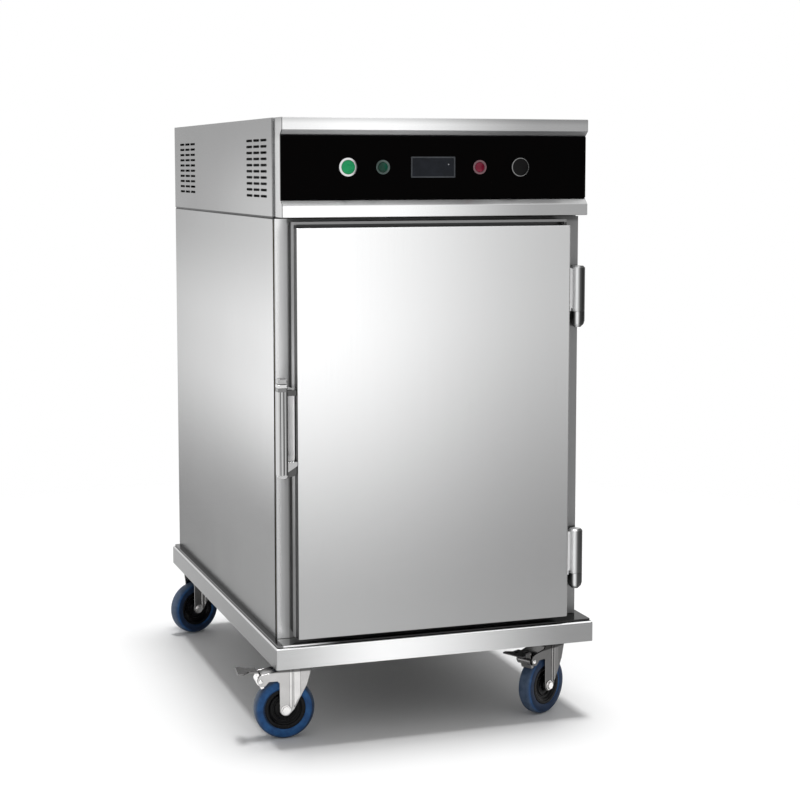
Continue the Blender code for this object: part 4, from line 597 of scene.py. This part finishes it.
def tyre_finish():
    """Blue rubber with painted shade on faces that turn to the right; the running face is worn to a dusty grey
    blue.
    """
    s = new_shader("blue_rubber", "blue_rubber")
    tread = s.node("Attribute", {"attribute_name": "mark"}, output="Fac")
    dust = s.noise((60, 60, 60), 4.0, 0.6)
    turned = s.rise(s.along("x", "Normal"), 0.02, 0.30)
    lit = s.between(colour(0.008, 0.056, 0.180), colour(0.018, 0.104, 0.285), s.rise(dust, 0.3, 0.7))
    dim = s.between(colour(0.004, 0.018, 0.055), colour(0.009, 0.032, 0.085), s.rise(dust, 0.3, 0.7))
    side = s.between(lit, dim, turned)
    worn = s.between(colour(0.045, 0.068, 0.105), colour(0.080, 0.105, 0.150), s.rise(dust, 0.35, 0.65))
    peel = s.noise((700, 700, 700), 2.0, 0.5)
    return s.principled(Base_Color=s.between(side, worn, tread * 0.85),
                        Roughness=0.46 + dust * 0.16, Specular_IOR_Level=0.3,
                        Normal=s.bump(peel, 0.0001, 0.5))


BLUE_RUBBER = tyre_finish()


# Casters

WHEEL_RADIUS = PIVOT["wheel_front_left"][2]
TYRE_HALF = 0.016
HUB_RADIUS = 0.042
PLATE_SHEET = 0.003
PLATE_BOLT_X, PLATE_BOLT_Y = 0.030, 0.040
BOLT_RADIUS, BOLT_HEAD = 0.0072, 0.0050
FORK_INNER, FORK_OUTER = 0.0188, 0.0218
FORK_RELIEF = 0.0016
CROWN_LOW, CROWN_HIGH = 0.1467, 0.1497
PIN_BACK, PIN_RISE = 0.0513, 0.061
# Painted shade on the fork's cheeks and on the ribs' tops; the ribs' flanks are left bright as painted highlight
CHEEK_MARK, RIB_MARK = 0.48, 0.28


def hexagon(radius):
    angle = np.radians(np.arange(6) * 60.0)
    return np.column_stack([radius * np.cos(angle), radius * np.sin(angle)])


def arc(a, b, radius_a, radius_b, start, end):
    """Nine points of an ellipse round (a, b), from one angle in degrees to another."""
    angles = np.radians(np.linspace(start, end, 9))
    return [(a + radius_a * math.cos(t), b + radius_b * math.sin(t)) for t in angles]


def caster_axes(corner):
    """Axes along the trail, along the axle and up; the place on the floor under the kingpin; the trail."""
    swivel, wheel = PIVOT["swivel_" + corner], PIVOT["wheel_" + corner]
    along = np.append((wheel - swivel)[:2], 0)
    trail = np.linalg.norm(along)
    along /= trail
    return np.array([along, (-along[1], along[0], 0), (0, 0, 1)]), np.append(swivel[:2], 0), trail


def side_on(axes):
    """A caster's axes with the level along its axle, for outlines seen from the side."""
    return axes[[0, 2, 1]]


def wheel(corner):
    """Tyre and hub, each a profile turned round the axle."""
    around = side_on(caster_axes(corner)[0])
    centre = PIVOT["wheel_" + corner]
    tread, half = WHEEL_RADIUS, TYRE_HALF
    side = [
        (HUB_RADIUS, half - 0.0022, 0), (HUB_RADIUS + 0.0018, half - 0.0012, 0),
        (HUB_RADIUS + 0.0040, half - 0.0004, 0), (HUB_RADIUS + 0.0075, half, 0),
        (tread - 0.0080, half - 0.0002, 0), (tread - 0.0056, half - 0.0010, 0.1),
        (tread - 0.0034, half - 0.0024, 0.5), (tread - 0.0016, half - 0.0044, 0.9),
        (tread - 0.0006, half - 0.0072, 1), (tread - 0.0001, half - 0.0110, 1), (tread, 0.001, 1),
    ]
    rows = np.array(side + [(radius, -level, mark) for radius, level, mark in reversed(side)])
    form = turn(Form(), rows[:, :2], centre, around, 96, True, rows[:, 2])
    piece("tyre_" + corner, form, BLUE_RUBBER, "wheel_" + corner, ["wheel_tyre_" + corner])
    rim, bore = HUB_RADIUS - 0.0003, 0.0043
    face = np.array([
        (bore, 0.018), (0.0085, 0.018), (0.0118, 0.0172), (0.0128, 0.0160), (0.0136, 0.0105),
        (0.0165, 0.0092), (0.0205, 0.0090), (0.0212, 0.0104), (0.0228, 0.0112), (0.0244, 0.0104),
        (0.0252, 0.0090), (0.0298, 0.0090), (0.0306, 0.0104), (0.0322, 0.0112), (0.0334, 0.0122),
        (0.0342, 0.0138), (0.0356, 0.0146), (rim - 0.0012, 0.0148), (rim, 0.0140),
    ])
    profile = np.concatenate([face, face[::-1] * (1, -1)])
    form = turn(Form(), profile, centre, around, 72, True)
    piece("hub_" + corner, form, BLACK_NYLON, "wheel_" + corner, ["wheel_hub_" + corner], 25)


def plate_bolts(corner):
    """Four hexagon bolts that hold the caster's plate to the frame."""
    form = Form()
    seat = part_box("caster_plate_" + corner)[1].z - PLATE_SHEET
    middle_x, middle_y = PIVOT["swivel_" + corner][:2]
    for x in (middle_x - PLATE_BOLT_X, middle_x + PLATE_BOLT_X):
        for y in (middle_y - PLATE_BOLT_Y, middle_y + PLATE_BOLT_Y):
            slab(form, hexagon(BOLT_RADIUS), 0, BOLT_HEAD, 0.0006, (x, y, seat), DOWNWARD, 2)
    piece("plate_bolts_" + corner, form, ZINC, "cabinet", smooth=30)


def both_cheeks(form, outline, inner, outer, edge, place, axes, mark=None, steps=3):
    """The same plate on both sides of the wheel; outlines have a along the trail and b upwards."""
    for low, high in ((inner, outer), (-outer, -inner)):
        slab(form, outline, low, high, edge, place, side_on(axes), steps, mark)


def shaded(form, mark):
    """Marks the surface that was added last with painted shade, one mark or those of its outline in turn."""
    form.marks[-1] = np.resize(np.asarray(mark, float), len(form.marks[-1]))


def fork(corner):
    """Pressed fork: two cheeks with upright ribs, a crown and, at the front, the brake's bracket."""
    axes, place, x = caster_axes(corner)
    z = WHEEL_RADIUS
    braked = corner.startswith("front")
    crown_front = x - 0.0535
    outline = arc(x, z, 0.0125, 0.0125, 0, -120)
    outline += [(x - 0.0172, z + 0.0005), (x - 0.0440, z + 0.0505),
                (crown_front, CROWN_LOW), (crown_front, CROWN_HIGH)]
    if braked:
        outline += [(x + 0.0125, CROWN_HIGH), (x + 0.0165, z + 0.0812)]
        outline += arc(x + PIN_BACK - 0.0045, z + PIN_RISE + 0.002, 0.0105, 0.0125, 80, -120)
        outline += [(x + 0.0340, z + 0.0600), (x + 0.0175, z + 0.0600), (x + 0.0128, z + 0.0560)]
    else:
        outline += [(x + 0.0150, CROWN_HIGH), (x + 0.0150, CROWN_LOW - 0.010), (x + 0.0125, z + 0.0560)]
    form = Form()
    both_cheeks(form, np.array(outline), FORK_INNER, FORK_OUTER, 0.0010, place, axes)
    # Painted shade on the cheeks
    for cheek in (-1, -2):
        form.marks[cheek][:] = CHEEK_MARK
    crown_rear = x + (0.0130 if braked else 0.0175)
    crown = rectangle(crown_front, -FORK_OUTER, crown_rear, FORK_OUTER, 0.006)
    slab(form, crown, CROWN_LOW, CROWN_HIGH, 0.0009, place, axes)
    slope_low, slope_run, slope_rise = 0.0172, 0.0268, 0.050
    top = CROWN_LOW + 0.0015
    rib_steps = 4
    # Painted shade on the ribs' tops and hidden feet; their flanks stay bright
    flat = np.zeros((2 * rib_steps + 2, 16))
    flat[[0, -1]] = RIB_MARK
    for near, far in ((0.0080, 0.0130), (0.0168, 0.0300)):
        feet = [(x - reach, z + 0.004 + max(0.0, (reach - slope_low) / slope_run * slope_rise))
                for reach in (near, far)]
        rib = filleted(np.array([(x - near, top), (x - far, top), feet[1], feet[0]]), 0.0025, 3)
        both_cheeks(form, rib, FORK_OUTER - 0.0004, FORK_OUTER + FORK_RELIEF, 0.0013, place, axes,
                    flat, rib_steps)
    piece("fork_" + corner, form, ZINC, "swivel_" + corner, ["caster_fork_" + corner], 30)
    if braked:
        form = Form()
        centre = np.asarray(place) + axes[0] * (x + PIN_BACK) + axes[2] * (z + PIN_RISE)
        pin_radius = 0.0046
        head = [(pin_radius, FORK_OUTER - 0.001)]
        head += dome(pin_radius, FORK_OUTER + 0.0004, FORK_OUTER + 0.0024, 6).tolist()
        turn(form, head, centre, side_on(axes), 32)
        turn(form, np.array(head) * (1, -1), centre, side_on(axes), 32)
        piece("brake_pin_" + corner, form, ZINC_BOLT, "swivel_" + corner, ["caster_fork_" + corner], 30)


def axle(corner):
    """Hexagon bolt through hub and fork, with a washer under its head and under its nut."""
    across = side_on(caster_axes(corner)[0])
    centre = np.append(PIVOT["wheel_" + corner][:2], WHEEL_RADIUS)
    form = Form()
    seat = FORK_OUTER + 0.0003
    washer_bore, washer_radius, washer_top, head_top = 0.0042, 0.0100, seat + 0.0013, seat + 0.0052
    for side in (1, -1):
        washer = np.array([(washer_bore, seat), (washer_radius, seat), (washer_radius, seat + 0.0010),
                           (washer_radius - 0.0004, washer_top), (washer_bore, washer_top)]) * (1, side)
        turn(form, washer, centre, across, 40)
        low, high = sorted((side * washer_top, side * head_top))
        slab(form, hexagon(0.0082), low, high, 0.0007, centre, across, 2)
    turn(form, [(0.0040, -seat - 0.005), (0.0040, seat + 0.005)], centre, across, 24)
    piece("axle_bolt_" + corner, form, ZINC_BOLT, "swivel_" + corner, ["wheel_axle_" + corner], 30)


def caster(corner):
    wheel(corner)
    plate_bolts(corner)
    fork(corner)
    axle(corner)
    eased("caster_plate_" + corner, ZINC, 0.0005)
    if corner.startswith("front"):
        eased("brake_pedal_" + corner, ZINC, 0.0006)


def dome(radius, low, high, steps):
    """Half profile of a cap: radius falls as a circle's while the level rises."""
    angle = np.linspace(0, math.pi / 2 * 0.97, steps)
    return np.column_stack([radius * np.cos(angle), low + (high - low) * np.sin(angle)])


for corner in ("front_left", "front_right", "rear_left", "rear_right"):
    caster(corner)

# Control panel. Levels are counted from the panel's face towards the front

PANEL_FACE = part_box("control_panel")[0].y
RIM_HEIGHT, RING_DEPTH, LAMP_DEPTH = 0.006, 0.012, 0.021
INDICATOR_X, INDICATOR_Z = 0.0324, 0.0055


def middle(node):
    low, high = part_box(node)
    return (low + high) / 2


def on_panel(node):
    centre = middle(node)
    return (centre.x, PANEL_FACE, centre.z)


def push_button(name, finish, ring_finish, radius, ring_radius):
    """Bezel ring with a rolled rim, and a cap with a shallow crown that stands in it."""
    ring = rounded_profile([
        (radius + 0.0003, -RING_DEPTH), (radius + 0.0003, RIM_HEIGHT),
        (ring_radius - 0.0005, RIM_HEIGHT - 0.0008), (ring_radius, 0.0004), (ring_radius - 0.004, 0.0003),
        (radius + 0.0015, -RING_DEPTH)], 0.0012)
    form = turn(Form(), ring, on_panel(name), FORWARD, 72, True)
    piece(name + "_bezel", form, ring_finish, "cabinet", [name + "_ring"])
    low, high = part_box(name)
    front = PANEL_FACE - low.y
    stem = [(0.005, PANEL_FACE - high.y), (0.005, front - 0.0030), (radius, front - 0.0030)]
    cap = np.concatenate([stem, dome(radius, front - 0.0014, front, 9)])
    piece(name + "_cap", turn(Form(), cap, on_panel(name), FORWARD, 72), finish, name, [name])


def pilot_lamp(name, ring_finish, lens_finish):
    """Ring with a sloping face round a domed lens."""
    ring = rounded_profile([
        (0.0100, -0.004), (0.0100, 0.0016), (0.0126, 0.0030), (0.0143, 0.0022), (0.0143, 0.0004),
        (0.0110, 0.0004), (0.0110, -LAMP_DEPTH), (0.0102, -LAMP_DEPTH)], 0.0006)
    form = turn(Form(), ring, on_panel(name), FORWARD, 72, True)
    piece(name + "_ring", form, ring_finish, "cabinet", [name])
    lens = np.concatenate([[(0.0099, -0.004)], dome(0.0099, 0.0012, 0.0050, 10)])
    piece(name + "_lens", turn(Form(), lens, on_panel(name), FORWARD, 72), lens_finish, "cabinet", [name])


def display():
    """Grey bezel round a dark window with one small indicator, and the controller's body behind."""
    low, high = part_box("display")
    half_width, half_height = (high.x - low.x) / 2, (high.z - low.z) / 2
    place = on_panel("display")
    body_depth = high.y - PANEL_FACE
    rows = []
    for inset, level, corner in ((0.0030, 0.0006, 0.001), (0.0030, 0.0012, 0.001), (0.0024, 0.0020, 0.001),
                                 (0.0006, 0.0020, 0.002), (0.0, 0.0014, 0.002), (0.0, 0.0004, 0.002),
                                 (0.0045, 0.0004, 0.001), (0.0045, -body_depth, 0.001)):
        width, height = half_width - inset, half_height - inset
        rows.append(at_level(rectangle(-width, -height, width, height, corner), level))
    form = Form().grid(set_in(np.array(rows), place, FORWARD))
    piece("display_frame", form, BEZEL, "cabinet", ["display"])
    pane_inset = 0.0031
    width, height = half_width - pane_inset, half_height - pane_inset
    pane = rectangle(-width, -height, width, height, 0.001)
    form = slab(Form(), pane, 0.0007, 0.0013, 0.0002, place, FORWARD)
    piece("display_pane", form, WINDOW, "cabinet", ["display"])
    spot = np.array(place) + np.array((INDICATOR_X, 0, INDICATOR_Z))
    form = turn(Form(), dome(0.0011, 0.0012, 0.0018, 6), spot, FORWARD, 24)
    piece("display_indicator", form, INDICATOR, "cabinet", ["display"])


INDICATOR = moulded("indicator", "black_gloss", (0.70, 0.72, 0.75), (0.85, 0.87, 0.90), 0.3)
push_button("start_button", GREEN, CHROME, 0.0134, 0.019)
push_button("stop_button", BLACK_CAP, DARK_CHROME, 0.0165, 0.0196)
pilot_lamp("pilot_lamp_green", LAMP_RING, DIM_GREEN)
pilot_lamp("pilot_lamp_red", WARM_RING, RED)
display()


# Sheet metal

def base_rail():
    """Channel of the bumper frame: loops of one section that runs round the cart."""
    corner, fold, wall = 0.005, 0.005, 0.003
    top_flange, low_flange, gusset = 0.045, 0.036, 0.115
    turn_up = np.linspace(0, math.pi / 2, 7)
    section = [(0.0, BASE_LOW.z, corner)]
    section += [(fold * (1 - math.cos(t)), BASE_HIGH.z - fold * (1 - math.sin(t)), corner) for t in turn_up]
    section += [(top_flange, BASE_HIGH.z, corner), (top_flange, BASE_HIGH.z - wall, corner),
                (wall, BASE_HIGH.z - wall, corner), (wall, BASE_LOW.z + wall, corner),
                (low_flange, BASE_LOW.z + wall, gusset), (low_flange, BASE_LOW.z, gusset)]
    rows = []
    for inset, level, radius in section:
        outline = rectangle(BASE_LOW.x + inset, BASE_LOW.y + inset,
                            BASE_HIGH.x - inset, BASE_HIGH.y - inset, radius, 6)
        rows.append(at_level(outline, level))
    piece("base_rail", Form().grid(np.array(rows), True), STEEL_RAIL, "cabinet", ["base_frame"])


def door_skin():
    """Tray of the door: a flat front with rounded folds, open to the rear."""
    sheet, fold, corner = 0.0012, 0.0024, 0.003
    front, rear = -DOOR_LOW.y, -DOOR_HIGH.y
    turn_in = np.linspace(0, math.pi / 2, 7)
    section = [(sheet, front - sheet), (sheet, rear), (0.0, rear)]
    section += [(fold * (1 - math.cos(t)), front - fold * (1 - math.sin(t))) for t in turn_in]
    rows = []
    for inset, level in section:
        outline = rectangle(DOOR_LOW.x + inset, DOOR_LOW.z + inset,
                            DOOR_HIGH.x - inset, DOOR_HIGH.z - inset, corner, 5)
        rows.append(at_level(outline, level))
    form = Form().grid(set_in(np.array(rows), (0, 0, 0), FORWARD))
    piece("door_skin", form, STEEL_DOOR, "door", ["door_outer_panel"])


def fascia_front():
    """Pressed front: the section of its two bars and the recess between them, with a tongue behind."""
    front, back = FASCIA_LOW.y, FRONT
    recess = front + 0.013
    low, high = FASCIA_LOW.z, FASCIA_HIGH.z
    section = np.array([
        (back, low), (front, low), (front, low + 0.0232), (recess, low + 0.0357), (recess, high - 0.0345),
        (front, high - 0.0240), (front, high), (back, high)])
    folds = (0.0004, 0.0018, 0.0016, 0.0010, 0.0010, 0.0016, 0.0018, 0.0004)
    form = slab(Form(), filleted(section, folds, 5), FASCIA_LOW.x, FASCIA_HIGH.x, 0.0008,
                axes=RIGHTWARD, steps=4)
    tongue_inset = 0.009
    tongue = rectangle(back - 0.004, low + 0.0016, FASCIA_HIGH.y, high - 0.0016)
    slab(form, tongue, FASCIA_LOW.x + tongue_inset, FASCIA_HIGH.x - tongue_inset, 0.0004,
         axes=RIGHTWARD, steps=2)
    piece("fascia_front", form, STEEL_FASCIA, "cabinet", ["fascia"], 25)


def cover_return():
    """Folded front edge of the housing's cover: a flange along its two sides and its top."""
    sheet, width = 0.0012, 0.0104
    left, right = COVER_LOW.x + sheet, COVER_HIGH.x - sheet
    foot, top = COVER_LOW.z + sheet, COVER_HIGH.z - sheet
    outline = [(left, foot), (left, top), (right, top), (right, foot), (right - width, foot),
               (right - width, top - sheet), (left + width, top - sheet), (left + width, foot)]
    form = slab(Form(), np.array(outline), -COVER_LOW.y - sheet, -COVER_LOW.y, 0.0002, axes=FORWARD, steps=2)
    piece("cover_return", form, STEEL_RETURN, "cabinet")


# Painted highlight: the folded edge is brighter than the cover's own steel
STEEL_RETURN = steel("satin_steel_return", 0.85, crease=0.001)
base_rail()
door_skin()
fascia_front()
cover_return()


# Door pull

def door_pull():
    """Cast pull: a fluted grip with a collar and a head, two arms and the pad on the door's edge."""
    low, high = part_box("door_handle")
    width, depth = 0.021, 0.022
    right, rear = low.x + width, low.y + depth
    flute_depth, crown, shoulder, cut = 0.0005, 0.0022, 0.008, 0.003
    across = np.linspace(0, 1, 37)
    wave = np.cos(across * 6 * math.pi)
    face = low.y + 0.0002 + flute_depth * (1 + wave) + crown * (2 * across - 1) ** 4
    plan = np.column_stack([low.x + 0.0004 + across * (width - 0.0008), face])
    plan = np.concatenate([plan, [(right, low.y + shoulder), (right, rear - cut), (right - cut, rear),
                                  (low.x + cut, rear), (low.x, rear - cut), (low.x, low.y + shoulder)]])
    form = slab(Form(), plan, low.z + 0.010, high.z - 0.026, 0.0003)
    # Painted highlight and shade along the flutes, with painted shade growing towards the right
    flutes = 0.25 - 0.15 * wave + 0.45 * across ** 3
    shaded(form, np.concatenate([flutes, (0.85, 0.85, 0.6, 0.3, 0.3, 0.3)]))
    block = rectangle(low.x, low.y, right, rear, 0.004)
    # Neck, collar and head: inset, depth of the lower and the upper end under the top, rounding, steps, mark of
    # painted shade
    for inset, lower, upper, edge, steps, mark in (
            (0.0012, 0.0270, 0.0180, 0.0006, 3, 0.70), (0.0, 0.0190, 0.0115, 0.0026, 5, 0.05),
            (0.0010, 0.0125, 0.0002, 0.0048, 6, 0.40)):
        slab(form, offset(block, inset), high.z - lower, high.z - upper, edge, steps=steps)
        shaded(form, mark)
    arm_front, arm_rear = low.y + 0.015, low.y + 0.031
    arm_top = low.z + 0.175
    arm = rectangle(low.x + 0.004, arm_top - 0.011, high.x, arm_top, 0.002)
    # Painted shade on the arms, the heel and the wedge
    dark_arm = 0.86
    arms = Form()
    slab(arms, arm, -arm_rear, -arm_front, 0.0012, axes=FORWARD)
    shaded(arms, dark_arm)
    toe = np.array([(low.x + 0.006, low.z + 0.034), (low.x + 0.002, low.z + 0.012),
                    (low.x + 0.008, low.z + 0.002), (low.x + 0.020, low.z + 0.0005),
                    (high.x, low.z + 0.007), (high.x, low.z + 0.034)])
    slab(arms, filleted(toe, 0.006, 5), -arm_rear, -arm_front, 0.0016, axes=FORWARD)
    shaded(arms, dark_arm)
    heel = np.array([(low.x + 0.0004, low.z + 0.036), (low.x + 0.0004, low.z + 0.004),
                     (low.x + 0.010, low.z + 0.0004), (right, low.z + 0.003), (right, low.z + 0.036)])
    slab(form, filleted(heel, 0.008, 6), -rear + 0.002, -low.y - 0.004, 0.003, axes=FORWARD, steps=4)
    shaded(form, 0.25)
    wedge = np.array([(right - 0.001, low.z + 0.012), (high.x, low.z + 0.026), (high.x, low.z + 0.034),
                      (right - 0.001, low.z + 0.034)])
    slab(arms, wedge, -arm_front, -arm_front + 0.003, 0.0006, axes=FORWARD)
    shaded(arms, 0.35)
    piece("pull_grip", form, CHROME, "door", ["door_handle"], 40)
    piece("pull_arms", arms, CHROME, "door", ["door_handle"], 40)
    pad = rectangle(high.x - 0.003, high.y - PAD_DEPTH, high.x, high.y, 0.001)
    piece("pull_pad", slab(Form(), pad, low.z + 0.0054, arm_top, 0.0006), WHITE_PAD, "door", ["door_handle"])


PAD_DEPTH = 0.0455
door_pull()


# Rear of the housing

def screws_on_back():
    """Pan-head screws round the housing's rear sheet."""
    low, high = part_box("housing_back")
    form = Form()
    radius, inset = 0.0036, 0.012
    head = [(radius, 0.0)] + dome(radius, 0.0004, 0.0021, 6).tolist()
    for x in np.linspace(low.x + inset, high.x - inset, 4):
        for z in (low.z + inset, high.z - inset):
            turn(form, head, (x, high.y, z), REARWARD, 24)
    piece("back_screws", form, ZINC, "cabinet")


def inlet_pins():
    """Three blades that stand in the mains inlet."""
    centre, rear = middle("power_inlet"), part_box("power_inlet")[1].y
    form = Form()
    blade = rectangle(-0.001, -0.002, 0.001, 0.002, 0.0004, 2)
    for x, z in ((-0.007, -0.003), (0.0, 0.004), (0.007, -0.003)):
        slab(form, blade, -0.018, -0.003, 0.0004, (centre.x + x, rear, centre.z + z), REARWARD, 2)
    piece("inlet_pins", form, CHROME, "cabinet")


screws_on_back()
inlet_pins()

# Nodes shown by their own solids: finish, width of the rounded edges if there are any, and names
OWN_SOLIDS = [
    (STEEL_DECK, 0.0008, "base_plate"),
    (STEEL_SIDE, 0.0005, "side_panel_left side_panel_right"),
    (STEEL_BACK, 0.0003, "back_and_top_panel"),
    (STEEL_POST, 0.0005, "face_frame"),
    (STEEL_INNER, 0, "chamber_liner rack_left rack_right water_pan fan_baffle fan_impeller"),
    (WOOL, 0, "cabinet_insulation door_insulation"),
    (TUBE, 0, "heating_element"),
    (STEEL_PLAIN, 0, "fan_motor door_strike"),
    (STEEL_COVER, 0, "housing_cover"),
    (STEEL_PLAIN, 0.0003, "housing_back"),
    (BLACK_GLOSS, 0.0003, "control_panel"),
    (BOARD, 0, "control_board"),
    (BLACK_NYLON, 0, "power_inlet"),
    (STEEL_PAN, 0.0004, "door_inner_panel"),
    (BLACK_RUBBER, 0, "door_gasket"),
    (STEEL_HINGE, 0.0006, "hinge_door_upper hinge_door_lower"),
    (STEEL_HINGE_FOOT, 0.0006, "hinge_frame_upper hinge_frame_lower"),
]
for finish, edge, nodes in OWN_SOLIDS:
    for node in nodes.split():
        if edge:
            eased(node, finish, edge)
        else:
            frame["nodes"][node].data.materials.clear()
            frame["nodes"][node].data.materials.append(finish)


# Stage, light and camera

FLOOR_NEAR, FLOOR_FAR = 1.5, 2.6
FLOOR_DIM, FLOOR_SHADE = 0.90, 0.93


def make_floor():
    """Pale round floor that fades into the white background."""
    form = Form()
    rings, sides = 40, 64
    radius = np.linspace(0.02, FLOOR_FAR + 0.2, rings)[:, None]
    angle = np.linspace(0, 2 * math.pi, sides, endpoint=False)
    points = np.stack([radius * np.cos(angle), radius * np.sin(angle), np.zeros((rings, sides))], axis=-1)
    form.grid(points, caps=False)
    form.faces.append(list(range(sides)))
    floor = added("floor", mesh_of("floor", form))
    s = Shader(bpy.data.materials.new("pale_floor"))
    reach = s.math("SQRT", s.along("x") * s.along("x") + s.along("y") * s.along("y"))
    faint = s.noise((3, 3, 3), 3.0, 0.5)
    pale = s.between(colour(*[FLOOR_DIM] * 3), colour(*[FLOOR_SHADE] * 3), faint)
    s.principled(Base_Color=pale, Roughness=0.6, Specular_IOR_Level=0.1)
    clear = s.node("BsdfTransparent")
    surface = Signal(s, s.tree.nodes["Principled BSDF"].outputs[0])
    mixed = s.node("MixShader", {}, {0: s.rise(reach, FLOOR_NEAR, FLOOR_FAR), 1: surface, 2: clear})
    s.feed(mixed, s.tree.nodes["Material Output"].inputs["Surface"])
    floor.data.materials.append(s.owner)


def make_light():
    light = bpy.data.lights.new("overhead", "SUN")
    light.energy, light.angle = OVERHEAD_LEVEL, OVERHEAD_SPREAD
    item = added("overhead", light)
    item.rotation_euler = (math.radians(-2), math.radians(2), 0)
    world = bpy.data.worlds.new("studio")
    bpy.context.scene.world = world
    s = Shader(world)
    seen, mirrored = s.node("LightPath", output="Is Camera Ray"), s.node("LightPath", output="Is Glossy Ray")
    background = s.tree.nodes["Background"]
    background.inputs["Color"].default_value = colour(1, 1, 1)
    level = AMBIENT + (mirrored_level(s) - AMBIENT) * mirrored
    s.feed(level + (1.0 - level) * seen, background.inputs["Strength"])


AMBIENT = 0.45
OVERHEAD_LEVEL, OVERHEAD_SPREAD = 2.3, math.radians(14)
MIRROR_LEVEL = 1.12
# Dark bays: bearing from straight in front, degrees off it where the dark begins and is full, and its share
BAYS = (64, 44, 20, 0.88), (-17, 15, 5, 0.25)


def mirrored_level(s):
    """What metal mirrors: a white studio with a dark bay on the right and a soft grey one in front."""
    level = MIRROR_LEVEL
    for *angles, drop in BAYS:
        bearing, outer, inner = np.radians(angles).tolist()
        aim = (math.sin(bearing), -math.cos(bearing), 0)
        toward = s.node("VectorMath", {"operation": "DOT_PRODUCT"}, {0: s.place("Generated"), 1: aim},
                        output="Value")
        bay = s.rise(toward, math.cos(outer), math.cos(inner))
        level = level * (1.0 - drop * bay)
    return level


CAMERA_PLACE = (-1.178522, -3.79679, 1.1539)
CAMERA_TURN, CAMERA_DROP = math.radians(18.83), math.radians(5.6)
CAMERA_LENS, CAMERA_SENSOR, CAMERA_SHIFT = 79.25, 36, -0.075


def make_camera():
    """Camera level from side to side, turned towards the right and tipped down."""
    data = bpy.data.cameras.new("camera")
    data.lens, data.sensor_width, data.shift_y = CAMERA_LENS, CAMERA_SENSOR, CAMERA_SHIFT
    camera = added("camera", data)
    level = math.cos(CAMERA_DROP)
    ahead = Vector((math.sin(CAMERA_TURN) * level, math.cos(CAMERA_TURN) * level, -math.sin(CAMERA_DROP)))
    right = Vector((math.cos(CAMERA_TURN), -math.sin(CAMERA_TURN), 0))
    turned = Matrix((right, right.cross(ahead), -ahead)).transposed().to_4x4()
    turned.translation = CAMERA_PLACE
    camera.matrix_world = turned
    bpy.context.scene.camera = camera


make_floor()
make_light()
make_camera()
bpy.context.scene.view_settings.view_transform = "Standard"
